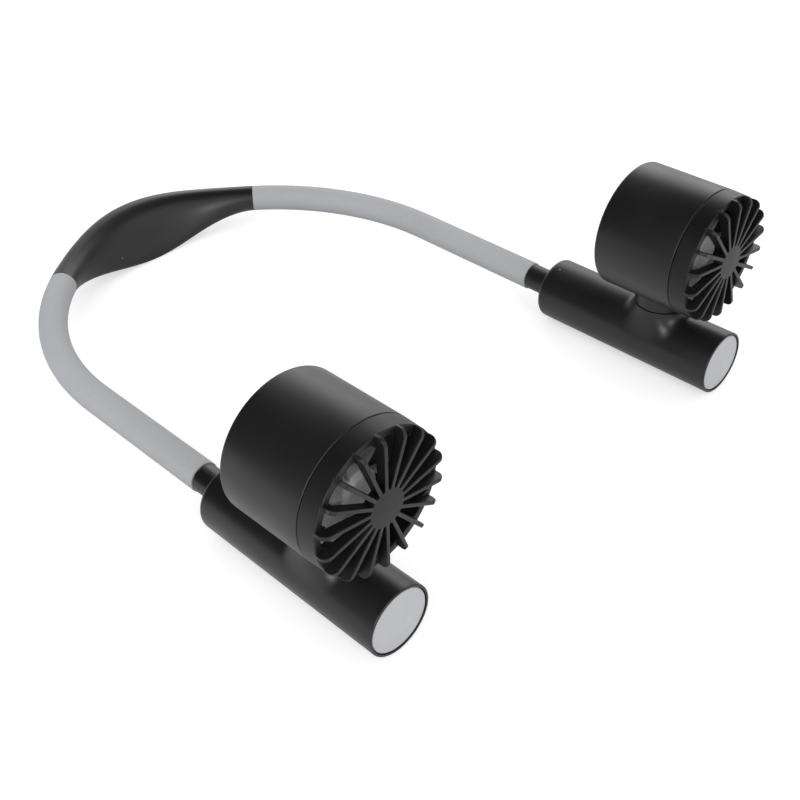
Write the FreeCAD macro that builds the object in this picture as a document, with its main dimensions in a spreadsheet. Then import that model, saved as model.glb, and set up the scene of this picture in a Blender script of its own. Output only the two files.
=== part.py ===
"""Electric neck fan: two barrels with swivelling fan drums, joined by bendable arms to a neck pod.

Frame: X towards the wearer's left, Y from the grilles back to the neck pod, Z up. The origin is
under the middle of the object, on the surface that the barrels and the pod's lower edge rest on.
Lengths are in millimetres and angles in degrees.
"""
import FreeCAD, Part
import math
import os
import types
import Sketcher
from FreeCAD import Placement, Rotation, Vector

# Driving dimensions: name, value, what it measures.
# Places "along" a barrel or drum are measured back from the barrel's front rim.
DIMENSIONS = [
    ("barrel_spacing", 185, "between the two barrel axes"),
    ("barrel_radius", 13, "outside of the barrel"),
    ("barrel_length", 84, "front rim to rear end"),
    ("barrel_wall", 1.6, "tube wall"),
    ("barrel_rear_wall", 2.2, "closed rear end"),
    ("barrel_rear_round", 2.2, "rounding of the rear edge"),
    ("barrel_front_round", 0.4, "rounding of the front rim"),
    ("mouth_depth", 5, "counterbore that takes button and carrier"),
    ("mouth_wall", 0.95, "rim wall round the button"),
    ("button_gap", 0.3, "radial gap round the button"),
    ("button_recess", 0.3, "button face behind the rim"),
    ("button_thick", 1.8, "button disc"),
    ("button_travel", 0.6, "press of the button"),
    ("button_play", 0.3, "room left behind the pressed button"),
    ("button_round", 0.3, "rounding of the button's edge"),
    ("stem_radius", 2, "button stem"),
    ("stem_clearance", 0.06, "radial, stem in carrier"),
    ("stem_tail", 0.5, "stem behind its clip"),
    ("carrier_gap", 0.1, "radial, carrier in mouth"),
    ("clip_gap", 0.15, "button clip behind the carrier"),
    ("clip_thick", 0.8, "button clip and swivel clip"),
    ("clip_depth", 0.4, "groove that holds a clip"),
    ("button_clip_radius", 3.4, "outside of the button clip"),
    ("touch_gap", 0.05, "plunger behind the stem"),
    ("plunger_radius", 1.75, "switch plunger"),
    ("plunger_proud", 0.9, "plunger outside the switch case"),
    ("plunger_sunk", 0.6, "plunger inside the switch case"),
    ("plunger_clearance", 0.08, "radial, plunger in case"),
    ("switch_width", 6.2, "switch case across"),
    ("switch_depth", 3.6, "switch case along the barrel"),
    ("board_drop", 3.4, "board's top below the barrel axis"),
    ("board_length", 17.5, "control board along the barrel"),
    ("board_thick", 1.2, "control board"),
    ("board_gap", 0.25, "board edge to barrel wall"),
    ("chip_width", 5, "controller chip"),
    ("chip_height", 1, "controller chip"),
    ("port_along", 18.5, "middle of the charge port"),
    ("port_width", 9, "charge port along the barrel"),
    ("port_height", 3.2, "charge port"),
    ("port_depth", 7.3, "charge port into the barrel"),
    ("port_wall", 0.35, "charge port shell"),
    ("port_recess", 0.6, "port mouth behind the barrel's outside"),
    ("port_gap", 0.2, "slot in the barrel round the port"),
    ("tongue_width", 6.7, "contact tongue in the port"),
    ("tongue_thick", 0.7, "contact tongue in the port"),
    ("cell_room", 2.25, "barrel's inner radius less the cell's radius"),
    ("cell_behind", 5.5, "front end of the cell behind the swivel axis"),
    ("cell_rear_room", 10.3, "rear end of the cell to the barrel's rear wall"),
    ("cell_gap", 0.2, "cell above the barrel wall that carries it"),
    ("cell_round", 0.6, "rounding of the cell's ends"),
    ("terminal_radius", 3, "cell terminal"),
    ("terminal_height", 0.9, "cell terminal"),
    ("pivot_along", 31, "swivel axis"),
    ("saddle_inset", 2.2, "saddle narrower than the barrel, radially"),
    ("saddle_rise", 3.3, "saddle top above the barrel's top line"),
    ("saddle_fillet", 5, "blend of saddle and barrel"),
    ("seam_round", 0.35, "rounding of edges at visible seams"),
    ("swivel_gap", 0.3, "seam between saddle and boss"),
    ("pivot_radius", 4, "pivot stub"),
    ("pivot_clearance", 0.05, "radial, stub in saddle"),
    ("pivot_bore", 1.7, "lead hole through the stub"),
    ("swivel_play", 0.25, "swivel clip below the barrel wall"),
    ("pivot_tail", 0.7, "stub below its clip"),
    ("swivel_clip_radius", 6, "outside of the swivel clip"),
    ("washer_rim", 2.8, "edge of the saddle to the friction washer"),
    ("washer_thick", 0.8, "friction washer"),
    ("washer_sunk", 0.7, "recess of the washer in the saddle"),
    ("washer_gap", 0.2, "radial gaps of the washer"),
    ("drum_radius", 25.2, "outside of the drum"),
    ("drum_wall", 1.6, "drum wall"),
    ("drum_ahead", 15.9, "seam between bezel and drum, ahead of the swivel axis"),
    ("drum_behind", 18.5, "rear rim of the drum, behind the swivel axis"),
    ("drum_rear_round", 1.2, "rounding of the rear rim"),
    ("drum_lip", 1.3, "inward lip at the drum's rear"),
    ("drum_seam", 0.25, "open seam between bezel and drum"),
    ("boss_inset", 0.2, "pivot boss narrower than the saddle, radially"),
    ("boss_rise", 3.2, "pivot boss below the drum's lowest line"),
    ("boss_fillet", 1.2, "blend of boss and drum"),
    ("bezel_length", 7.1, "front edge of the bezel ahead of the seam"),
    ("bezel_taper", 0.3, "bezel is narrower at its front"),
    ("bezel_lip", 1, "width of the bezel's front edge"),
    ("bezel_wall", 2.8, "bezel's thickness behind its lip"),
    ("bezel_bevel", 3, "depth of the bevel inside the lip"),
    ("spigot_length", 4, "bezel spigot inside the drum"),
    ("spigot_gap", 0.15, "radial, spigot in drum"),
    ("fin_count", 18, "fins of the front grille and spokes of the rear one"),
    ("fin_thick", 1.36, "fin plate"),
    ("fin_rise", 3.8, "front edge of the fins ahead of the bezel"),
    ("fin_inset", 0.2, "ends of the fins inside the drum's outside"),
    ("fin_corner", 2.6, "rounding of the outer front corner"),
    ("fin_sunk_outer", 1.2, "rear edge of a fin at the bezel, behind the bezel's front"),
    ("fin_sunk_inner", 0.1, "rear edge of a fin at the hub, behind the bezel's front"),
    ("hub_radius", 6.8, "hub disc of the grille"),
    ("hub_sunk", 0.2, "rear of the hub disc behind the bezel's front"),
    ("blade_count", 7, "impeller blades"),
    ("blade_gap", 0.7, "corner of a blade's tip to the bezel's inside"),
    ("blade_thick", 1.1, "impeller blade"),
    ("blade_sunk", 0.3, "leading edge of the blades behind the drum's seam"),
    ("blade_root_chord", 13, "blade width at the hub"),
    ("blade_tip_chord", 17, "blade width at the tip"),
    ("blade_root_pitch", 52, "blade angle at the hub, from the fan's plane"),
    ("blade_tip_pitch", 36, "blade angle at the tip"),
    ("blade_camber", 1.3, "hollow of the blade"),
    ("impeller_hub_radius", 7, "impeller hub"),
    ("nose_ahead", 1, "nose of the impeller hub ahead of the blades"),
    ("hub_tail", 6.36, "impeller hub behind its blades"),
    ("impeller_nose", 1.8, "bevel of the hub's nose"),
    ("rotor_gap", 0.6, "impeller hub in front of the motor"),
    ("shaft_radius", 1, "motor shaft"),
    ("shaft_clearance", 0.05, "radial, shaft in bush"),
    ("shaft_front", 1.4, "shaft end behind the hub's nose"),
    ("shaft_tail", 2.5, "shaft end before the motor's rear"),
    ("press_gap", 0.02, "radial, pressed seats"),
    ("motor_radius", 6, "motor can"),
    ("motor_round", 0.6, "rounding of the motor can"),
    ("bush_radius", 3, "bearing bush"),
    ("bush_length", 3, "bearing bush"),
    ("grille_thick", 1.8, "rear grille plate"),
    ("grille_gap", 0.2, "radial, rear grille in drum"),
    ("grille_rim", 2.2, "rim of the rear grille"),
    ("spoke_thick", 1.3, "spokes of the rear grille"),
    ("cup_wall", 1.3, "motor cup on the rear grille"),
    ("cup_share", 0.65, "part of the motor's length that its cup covers"),
    ("cup_gap", 0.05, "radial, motor in cup"),
    ("screw_offset", 3.6, "motor screws from the motor axis"),
    ("screw_radius", 0.8, "motor screw shank"),
    ("screw_length", 4, "motor screw below its head"),
    ("screw_head_radius", 1.5, "motor screw head"),
    ("screw_head_height", 0.8, "motor screw head"),
    ("motor_lead_radius", 1, "lead from motor to barrel"),
    ("motor_lead_gap", 0.15, "lead to cup and drum wall"),
    ("motor_lead_bend", 2.6, "bends of the motor lead"),
    ("motor_lead_tail", 1.8, "lead below the pivot stub"),
    ("collar_step", 0.4, "collar narrower than the sleeve, radially"),
    ("collar_length", 12.6, "collar that shows"),
    ("collar_round", 0.5, "rounding of the collar's rear edge"),
    ("collar_spigot", 6, "collar inside the sleeve"),
    ("tenon_step", 0.8, "collar's tenon narrower than the collar, radially"),
    ("tenon_gap", 0.05, "radial, tenon in rear wall"),
    ("ring_width", 1.6, "collar ring"),
    ("ring_thick", 1.2, "collar ring"),
    ("sleeve_radius", 6, "arm sleeve"),
    ("sleeve_wall", 1.6, "wall of the sleeve"),
    ("spigot_wall", 0.8, "collar's spigot inside the sleeve"),
    ("core_wall", 1.5, "wall of the gooseneck core"),
    ("core_seat", 8, "core's front end behind the barrel"),
    ("core_gap", 0.1, "radial, core in collar and ferrule"),
    ("core_in_pod", 14, "core inside the pod"),
    ("ferrule_wall", 0.7, "ferrule on the core's end"),
    ("ferrule_length", 10, "ferrule on the core's end"),
    ("lead_play", 0.4, "radial, lead in the gooseneck core"),
    ("lead_gap", 0.3, "lead behind the cell, and in its holes"),
    ("joint_radius", 2.5, "sleeve on the joint of the leads"),
    ("joint_half_length", 6, "sleeve on the joint of the leads"),
    ("arm_straight", 79, "barrel's rear end to the arm's bend"),
    ("arm_bend_radius", 108.7, "bend of the arm"),
    ("arm_turn", 49, "angle of the arm's bend"),
    ("pod_end_step", 0.1, "round ends of the pod wider than the sleeve, radially"),
    ("pod_lift", 0.25, "lower edge above the surface that the barrels rest on"),
    ("pod_swell", 2.4, "how late the leaf's rim widens: exponent of the blend"),
    ("pod_swell_low", 1.6, "how late the leaf's lower part widens: exponent of the blend"),
    ("pod_tilt", 42, "slope of the pod's leaf from level"),
    ("pod_reach_up", 11.3, "leaf above the arm's axis at the middle"),
    ("pod_rim", 4.7, "neck side of the leaf's upper rim"),
    ("pod_rim_back", 5.4, "rear side of the leaf's upper rim"),
    ("pod_crown", 6.5, "neck face below the rim, where the leaf is thickest"),
    ("pod_face", 5.9, "neck face below the lead hole at the middle"),
    ("pod_back", 5.8, "rear face behind the lead hole at the middle"),
    ("pod_edge", 3.2, "neck face near the lower edge"),
    ("pod_edge_back", 3.4, "rear face near the lower edge"),
    ("pod_seam", 3.4, "parting face of the cover behind the lead"),
    ("pod_cover_inset", 15, "cover's end from the pod's end"),
    ("pod_channel_gap", 0.3, "radial, pieces in the pod's channels"),
]

doc = FreeCAD.newDocument("NeckFan")
sheet = doc.addObject("Spreadsheet::Sheet", "dims")
for row, (name, value, note) in enumerate(DIMENSIONS, start=1):
    sheet.set(f"A{row}", name)
    sheet.set(f"B{row}", str(value))
    sheet.setAlias(f"B{row}", name)
    sheet.set(f"C{row}", note)
doc.recompute()


class Size:
    """A number together with the sheet expression that it comes from."""

    def __init__(self, value, text):
        self.value = float(value)
        self.text = text

    def __add__(self, other):
        other = as_size(other)
        return Size(self.value + other.value, f"({self.text} + {other.text})")

    def __sub__(self, other):
        other = as_size(other)
        return Size(self.value - other.value, f"({self.text} - {other.text})")

    def __mul__(self, other):
        other = as_size(other)
        return Size(self.value * other.value, f"({self.text} * {other.text})")

    def __truediv__(self, other):
        other = as_size(other)
        return Size(self.value / other.value, f"({self.text} / {other.text})")

    def __radd__(self, other):
        return as_size(other) + self

    def __rsub__(self, other):
        return as_size(other) - self

    def __rmul__(self, other):
        return as_size(other) * self

    def __rtruediv__(self, other):
        return as_size(other) / self

    def __neg__(self):
        return Size(-self.value, f"(0 - {self.text})")


def as_size(number):
    return number if isinstance(number, Size) else Size(number, repr(float(number)))


def sine(angle):
    return Size(math.sin(math.radians(angle.value)), f"sin({angle.text})")


def cosine(angle):
    return Size(math.cos(math.radians(angle.value)), f"cos({angle.text})")


def tangent(angle):
    return Size(math.tan(math.radians(angle.value)), f"tan({angle.text})")


def chord_height(radius, offset):
    """Height of a circle's edge above its centre, at a distance from the middle."""
    value = math.sqrt(radius.value ** 2 - offset.value ** 2)
    return Size(value, f"sqrt({radius.text} * {radius.text} - {offset.text} * {offset.text})")


d = types.SimpleNamespace(**{name: Size(sheet.get(name), f"dims.{name}") for name, _, _ in DIMENSIONS})

# Sizes that several pieces share
inner_radius = d.barrel_radius - d.barrel_wall
mouth_radius = d.barrel_radius - d.mouth_wall
stem_bore = d.stem_radius + d.stem_clearance
button_back = d.button_recess + d.button_thick
carrier_front = button_back + d.button_travel + d.button_play
clip_front = d.mouth_depth + d.clip_gap
stem_end = clip_front + d.clip_thick + d.stem_tail
switch_front = stem_end + d.touch_gap + d.plunger_proud
board_top = -d.board_drop
board_half = chord_height(inner_radius, d.board_drop + d.board_thick) - d.board_gap
port_middle = board_top + d.port_height / 2
port_mouth = chord_height(d.barrel_radius, port_middle) - d.port_recess
rear_wall_front = d.barrel_length - d.barrel_rear_wall
cell_radius = inner_radius - d.cell_room
cell_drop = inner_radius - cell_radius - d.cell_gap
cell_along = d.pivot_along + d.cell_behind
cell_rear = rear_wall_front - d.cell_rear_room
saddle_radius = d.barrel_radius - d.saddle_inset
saddle_height = d.barrel_radius + d.saddle_rise
washer_radius = saddle_radius - d.washer_rim
boss_radius = saddle_radius - d.boss_inset
boss_bottom = d.drum_radius + d.boss_rise
drum_height = saddle_height + d.swivel_gap + boss_bottom
drum_inner = d.drum_radius - d.drum_wall
drum_front = d.pivot_along - d.drum_ahead
drum_rear = d.pivot_along + d.drum_behind
bezel_front = drum_front - d.bezel_length
fin_front = bezel_front - d.fin_rise
fin_tip_radius = d.drum_radius - d.fin_inset
hub_back = bezel_front + d.hub_sunk
blade_front = drum_front + d.blade_sunk
blade_depth = d.blade_root_chord * sine(d.blade_root_pitch)
impeller_front = blade_front - d.nose_ahead
clip_top = chord_height(inner_radius, d.swivel_clip_radius) - d.swivel_play
stub_bottom = drum_height - clip_top + d.clip_thick + d.pivot_tail
bezel_inner = d.drum_radius - d.bezel_wall
plate_rear = drum_rear - d.drum_lip
plate_front = plate_rear - d.grille_thick
hub_rear = blade_front + blade_depth + d.hub_tail
motor_front = hub_rear + d.rotor_gap
cup_depth = (plate_front - motor_front) * d.cup_share
shaft_start = impeller_front + d.shaft_front
shaft_end = plate_front - d.shaft_tail
cup_outer = d.motor_radius + d.cup_gap + d.cup_wall
collar_end = d.barrel_length + d.collar_length
core_start = d.barrel_length + d.core_seat
sleeve_bore = d.sleeve_radius - d.sleeve_wall
spigot_radius = sleeve_bore - d.core_gap
core_hole = spigot_radius - d.spigot_wall
core_radius = core_hole - d.core_gap
core_bore = core_radius - d.core_wall
lead_radius = core_bore - d.lead_play
collar_radius = d.sleeve_radius - d.collar_step
tenon_radius = collar_radius - d.tenon_step
pod_end_radius = d.sleeve_radius + d.pod_end_step
ferrule_radius = core_hole + d.ferrule_wall
arm_inset = d.arm_bend_radius * (1 - cosine(d.arm_turn))
arm_rise = d.arm_bend_radius * sine(d.arm_turn)
pod_radius = (d.barrel_spacing / 2 - arm_inset) / cosine(d.arm_turn)
pod_half_turn = 90 - d.arm_turn
pod_centre_along = d.barrel_length + d.arm_straight + arm_rise - pod_radius * sine(d.arm_turn)
degrees_per_length = 180 / math.pi / pod_radius

SIDES = (("right", -1), ("left", 1))
parts = {}


def bind(target, prop, value):
    """Set a property, tied to the sheet where the value comes from it."""
    if isinstance(value, Size):
        target.setExpression(prop, value.text)
    else:
        setattr(target, prop, value)


def place(target, base, rotation=Rotation()):
    """Put an object at a point of the row's frame."""
    target.Placement = Placement(Vector(*(as_size(c).value for c in base)), rotation)


def new_body(label):
    body = doc.addObject("PartDesign::Body", label)
    body.Label = label
    parts[label] = body
    return body


def new_sketch(body, name, role, lift=None):
    """Empty sketch on one of the body's own planes, lifted along the plane's normal."""
    sketch = body.newObject("Sketcher::SketchObject", f"{body.Name}_{name}")
    base = next(item for item in body.Origin.OriginFeatures if item.Role == role)
    sketch.AttachmentSupport = [(base, "")]
    sketch.MapMode = "FlatFace"
    if lift is not None:
        sketch.setExpression("AttachmentOffset.Base.z", as_size(lift).text)
    return sketch


def pin_point(sketch, item, end, place_xy):
    """Tie one end of a sketch element to a place given in sheet sizes."""
    for kind, axis, value in zip(("DistanceX", "DistanceY"), (-2, -1), place_xy):
        value = as_size(value)
        if abs(value.value) < 1e-9:
            sketch.addConstraint(Sketcher.Constraint("PointOnObject", item, end, axis))
        else:
            index = sketch.addConstraint(Sketcher.Constraint(kind, -1, 1, item, end, value.value))
            sketch.setExpression(f"Constraints[{index}]", value.text)


def outline(body, name, role, points, lift=None):
    """Sketch of a closed polygon whose corners are given in sheet sizes."""
    sketch = new_sketch(body, name, role, lift)
    corners = [Vector(as_size(x).value, as_size(y).value, 0) for x, y in points]
    count = len(corners)
    for i in range(count):
        sketch.addGeometry(Part.LineSegment(corners[i], corners[(i + 1) % count]), False)
    for i in range(count):
        sketch.addConstraint(Sketcher.Constraint("Coincident", i, 2, (i + 1) % count, 1))
    for i in range(count):
        pin_point(sketch, i, 1, points[i])
    return sketch


def circles(body, name, role, centre, radii, lift=None):
    """Sketch of one circle, or of the ring between two."""
    sketch = new_sketch(body, name, role, lift)
    middle = Vector(as_size(centre[0]).value, as_size(centre[1]).value, 0)
    for radius in radii:
        radius = as_size(radius)
        item = sketch.addGeometry(Part.Circle(middle, Vector(0, 0, 1), radius.value), False)
        pin_point(sketch, item, 3, centre)
        index = sketch.addConstraint(Sketcher.Constraint("Radius", item, radius.value))
        sketch.setExpression(f"Constraints[{index}]", radius.text)
    return sketch


def box_corners(low_x, low_y, high_x, high_y):
    return [(low_x, low_y), (high_x, low_y), (high_x, high_y), (low_x, high_y)]


def turned(body, name, points, cut=False):
    """Turn an outline of (along, radius) points about the body's Y axis."""
    sketch = outline(body, name + "_outline", "YZ_Plane", points)
    turn = body.newObject("PartDesign::Groove" if cut else "PartDesign::Revolution", f"{body.Name}_{name}")
    turn.Profile = sketch
    turn.ReferenceAxis = (sketch, ["H_Axis"])
    turn.Angle = 360
    return turn


def tube_points(front, rear, inner, outer):
    return [(front, inner), (rear, inner), (rear, outer), (front, outer)]


def pad(body, name, sketch, length, reverse=False, midplane=False):
    feature = body.newObject("PartDesign::Pad", f"{body.Name}_{name}")
    feature.Profile = sketch
    bind(feature, "Length", length)
    feature.Reversed = reverse
    feature.Midplane = midplane
    return feature


def pocket(body, name, sketch, length, reverse=False):
    """Cut along the sketch's normal backwards, or forwards if reversed."""
    feature = body.newObject("PartDesign::Pocket", f"{body.Name}_{name}")
    feature.Profile = sketch
    bind(feature, "Length", length)
    feature.Reversed = reverse
    return feature


def rounded(body, name, radius, wanted):
    """Round the edges of the body for which the test holds."""
    doc.recompute()
    base = body.Tip
    names = [f"Edge{i}" for i, edge in enumerate(base.Shape.Edges, start=1) if wanted(edge)]
    if not names:
        raise ValueError(f"no edge to round for {name} of {body.Label}")
    fillet = body.newObject("PartDesign::Fillet", f"{body.Name}_{name}")
    fillet.Base = (base, names)
    bind(fillet, "Radius", radius)
    return fillet


def ring_edge(along, radius):
    """Test for a full or split circle about the Y axis, at a place along it."""
    def test(edge):
        if not isinstance(edge.Curve, Part.Circle) or abs(edge.Curve.Radius - radius.value) > 1e-4:
            return False
        return abs(edge.Curve.Center.y - along.value) < 1e-4 and abs(abs(edge.Curve.Axis.y) - 1) < 1e-4
    return test


def level_edge(height, radius):
    """Test for a circle about a vertical axis, at a height."""
    def test(edge):
        if not isinstance(edge.Curve, Part.Circle) or abs(edge.Curve.Radius - radius.value) > 1e-4:
            return False
        return abs(edge.Curve.Center.z - height.value) < 1e-4 and abs(abs(edge.Curve.Axis.z) - 1) < 1e-4
    return test


def edge_at(height):
    """Test for an edge that lies level, at a height."""
    def test(edge):
        return abs(edge.BoundBox.ZMin - height.value) < 1e-3 and abs(edge.BoundBox.ZMax - height.value) < 1e-3
    return test


def crossing_edge(edge):
    """Test for the curve where two cylinders meet."""
    return not isinstance(edge.Curve, (Part.Line, Part.Circle))


def repeated(body, name, feature, count):
    """Repeat a feature round the body's Y axis."""
    axis = next(item for item in body.Origin.OriginFeatures if item.Role == "Y_Axis")
    pattern = body.newObject("PartDesign::PolarPattern", f"{body.Name}_{name}")
    pattern.Originals = [feature]
    pattern.Axis = (axis, [""])
    pattern.Angle = 360
    bind(pattern, "Occurrences", count)
    body.Tip = pattern
    return pattern


def barrel_shell(label, has_port):
    """Tube with a saddle on top, open at the front, with a closed rear end."""
    body = new_body(label)
    turned(body, "tube", tube_points(0, d.barrel_length, 0, d.barrel_radius))
    rounded(body, "rear_edge", d.barrel_rear_round, ring_edge(d.barrel_length, d.barrel_radius))
    rounded(body, "front_edge", d.barrel_front_round, ring_edge(as_size(0), d.barrel_radius))
    saddle = circles(body, "saddle_circle", "XY_Plane", (0, d.pivot_along), [saddle_radius])
    pad(body, "saddle", saddle, saddle_height + 2 * d.saddle_fillet)
    rounded(body, "saddle_blend", d.saddle_fillet, crossing_edge)
    above = outline(body, "saddle_top_outline", "XY_Plane", box_corners(
        -2 * d.barrel_radius, d.pivot_along - 2 * d.barrel_radius,
        2 * d.barrel_radius, d.pivot_along + 2 * d.barrel_radius), saddle_height)
    pocket(body, "saddle_top", above, 3 * d.saddle_fillet, reverse=True)
    rounded(body, "saddle_edge", d.seam_round, edge_at(saddle_height))
    tenon_hole = tenon_radius + d.tenon_gap
    turned(body, "hollow", [
        (-1, 0), (-1, mouth_radius), (d.mouth_depth, mouth_radius), (d.mouth_depth, inner_radius),
        (rear_wall_front, inner_radius), (rear_wall_front, tenon_hole),
        (d.barrel_length + 1, tenon_hole), (d.barrel_length + 1, 0)], cut=True)
    bore = circles(body, "pivot_circle", "XY_Plane", (0, d.pivot_along), [d.pivot_radius + d.pivot_clearance])
    pocket(body, "pivot_bore", bore, saddle_height + 1, reverse=True)
    seat = circles(body, "washer_circle", "XY_Plane", (0, d.pivot_along),
                   [washer_radius + d.washer_gap], saddle_height)
    pocket(body, "washer_seat", seat, d.washer_sunk)
    if has_port:
        half = d.port_width / 2 + d.port_gap
        slot = outline(body, "port_slot_outline", "YZ_Plane", box_corners(
            d.port_along - half, board_top - d.port_gap,
            d.port_along + half, board_top + d.port_height + d.port_gap))
        pocket(body, "port_slot", slot, d.barrel_radius + 1, reverse=True)
    return body


def end_button(label):
    """Disc in the barrel's mouth, with a grooved stem behind it."""
    body = new_body(label)
    disc_radius = mouth_radius - d.button_gap
    neck = d.stem_radius - d.clip_depth
    groove_end = clip_front + d.clip_thick
    turned(body, "disc", [
        (d.button_recess, 0), (d.button_recess, disc_radius), (button_back, disc_radius),
        (button_back, d.stem_radius), (clip_front, d.stem_radius), (clip_front, neck),
        (groove_end, neck), (groove_end, d.stem_radius), (stem_end, d.stem_radius), (stem_end, 0)])
    rounded(body, "edge", d.button_round, ring_edge(d.button_recess, disc_radius))
    return body


def button_carrier(label):
    """Bulkhead that guides the button's stem, seated on the mouth's shoulder."""
    body = new_body(label)
    turned(body, "plate", tube_points(carrier_front, d.mouth_depth, stem_bore, mouth_radius - d.carrier_gap))
    return body


def open_clip(body, radius, neck, plane, lift, reverse, centre):
    """Flat ring with an open side as wide as the neck that it snaps over."""
    ring = circles(body, "ring_circles", plane, centre, [radius, neck], lift)
    pad(body, "ring", ring, d.clip_thick, reverse=reverse)
    gap = neck * 0.85
    mouth = outline(body, "mouth_outline", plane, box_corners(
        -gap, centre[1], gap, centre[1] + radius + 1), lift)
    pocket(body, "mouth", mouth, d.clip_thick, reverse=not reverse)
    return body


def button_clip(label):
    return open_clip(new_body(label), d.button_clip_radius, d.stem_radius - d.clip_depth,
                     "XZ_Plane", -clip_front, True, (0, as_size(0)))


def switch_case(label):
    """Upright push switch on the board, with a blind hole for its plunger."""
    body = new_body(label)
    half = d.switch_width / 2
    block = outline(body, "block_outline", "XZ_Plane", box_corners(-half, board_top, half, half), -switch_front)
    pad(body, "block", block, d.switch_depth, reverse=True)
    hole = circles(body, "hole_circle", "XZ_Plane", (0, 0),
                   [d.plunger_radius + d.plunger_clearance], -switch_front)
    pocket(body, "hole", hole, d.plunger_sunk + d.button_travel + d.button_play)
    return body


def switch_plunger(label):
    body = new_body(label)
    turned(body, "pin", tube_points(stem_end + d.touch_gap, switch_front + d.plunger_sunk, 0, d.plunger_radius))
    return body


def control_board(label):
    """Board across the barrel with its controller chip."""
    body = new_body(label)
    rear = switch_front + d.board_length
    plate = outline(body, "plate_outline", "XY_Plane",
                    box_corners(-board_half, switch_front, board_half, rear), board_top)
    pad(body, "plate", plate, d.board_thick, reverse=True)
    chip = outline(body, "chip_outline", "XY_Plane", box_corners(
        -board_half + 1, rear - d.chip_width - 1, -board_half + 1 + d.chip_width, rear - 1), board_top)
    pad(body, "chip", chip, d.chip_height)
    return body


def charge_port(label):
    """Receptacle shell with a contact tongue, opening through the barrel's side."""
    body = new_body(label)
    half = d.port_width / 2
    back = port_mouth - d.port_depth
    inner = half - d.port_wall
    shell = outline(body, "shell_outline", "YZ_Plane", box_corners(
        d.port_along - half, board_top, d.port_along + half, board_top + d.port_height), back)
    pad(body, "shell", shell, d.port_depth)
    hole = outline(body, "hole_outline", "YZ_Plane", box_corners(
        d.port_along - inner, board_top + d.port_wall,
        d.port_along + inner, board_top + d.port_height - d.port_wall), port_mouth)
    pocket(body, "hole", hole, d.port_depth - 1)
    tongue = outline(body, "tongue_outline", "YZ_Plane", box_corners(
        d.port_along - d.tongue_width / 2, port_middle - d.tongue_thick / 2,
        d.port_along + d.tongue_width / 2, port_middle + d.tongue_thick / 2), back)
    pad(body, "tongue", tongue, d.port_depth - 1)
    return body


def battery_cell(label):
    """Round cell with a raised front terminal."""
    body = new_body(label)
    turned(body, "can", [
        (cell_along - d.terminal_height, 0), (cell_along - d.terminal_height, d.terminal_radius),
        (cell_along, d.terminal_radius), (cell_along, cell_radius),
        (cell_rear, cell_radius), (cell_rear, 0)])
    rounded(body, "front_edge", d.cell_round, ring_edge(cell_along, cell_radius))
    rounded(body, "rear_edge", d.cell_round, ring_edge(cell_rear, cell_radius))
    return body


def swivel_washer(label):
    body = new_body(label)
    ring = circles(body, "ring_circles", "XY_Plane", (0, d.pivot_along),
                   [washer_radius, d.pivot_radius + d.washer_gap], saddle_height - d.washer_sunk)
    pad(body, "ring", ring, d.washer_thick)
    return body


def swivel_clip(label):
    """Ring on the pivot stub, inside the barrel, about the drum's axis frame."""
    return open_clip(new_body(label), d.swivel_clip_radius, d.pivot_radius - d.clip_depth,
                     "XY_Plane", d.pivot_tail - stub_bottom, False, (0, d.pivot_along))


def fan_drum(label):
    """Cylinder with a pivot boss and a hollow pivot stub below it."""
    body = new_body(label)
    front = drum_front + d.drum_seam
    turned(body, "wall", tube_points(front, drum_rear, 0, d.drum_radius))
    rounded(body, "rear_edge", d.drum_rear_round, ring_edge(drum_rear, d.drum_radius))
    rounded(body, "front_edge", d.seam_round, ring_edge(front, d.drum_radius))
    boss = circles(body, "boss_circle", "XY_Plane", (0, d.pivot_along), [boss_radius])
    pad(body, "boss", boss, boss_bottom, reverse=True)
    rounded(body, "boss_blend", d.boss_fillet, crossing_edge)
    rounded(body, "boss_edge", d.seam_round, level_edge(-boss_bottom, boss_radius))
    stub = circles(body, "stub_circle", "XY_Plane", (0, d.pivot_along), [d.pivot_radius])
    pad(body, "stub", stub, stub_bottom, reverse=True)
    lip_radius = drum_inner - d.drum_lip
    turned(body, "hollow", [
        (front - 1, 0), (front - 1, drum_inner), (plate_rear, drum_inner), (plate_rear, lip_radius),
        (drum_rear + 1, lip_radius), (drum_rear + 1, 0)], cut=True)
    bore = circles(body, "bore_circle", "XY_Plane", (0, d.pivot_along), [d.pivot_bore])
    pocket(body, "bore", bore, stub_bottom + 1)
    groove = circles(body, "groove_circles", "XY_Plane", (0, d.pivot_along),
                     [d.pivot_radius + 1, d.pivot_radius - d.clip_depth], d.pivot_tail + d.clip_thick - stub_bottom)
    pocket(body, "groove", groove, d.clip_thick)
    return body


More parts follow.
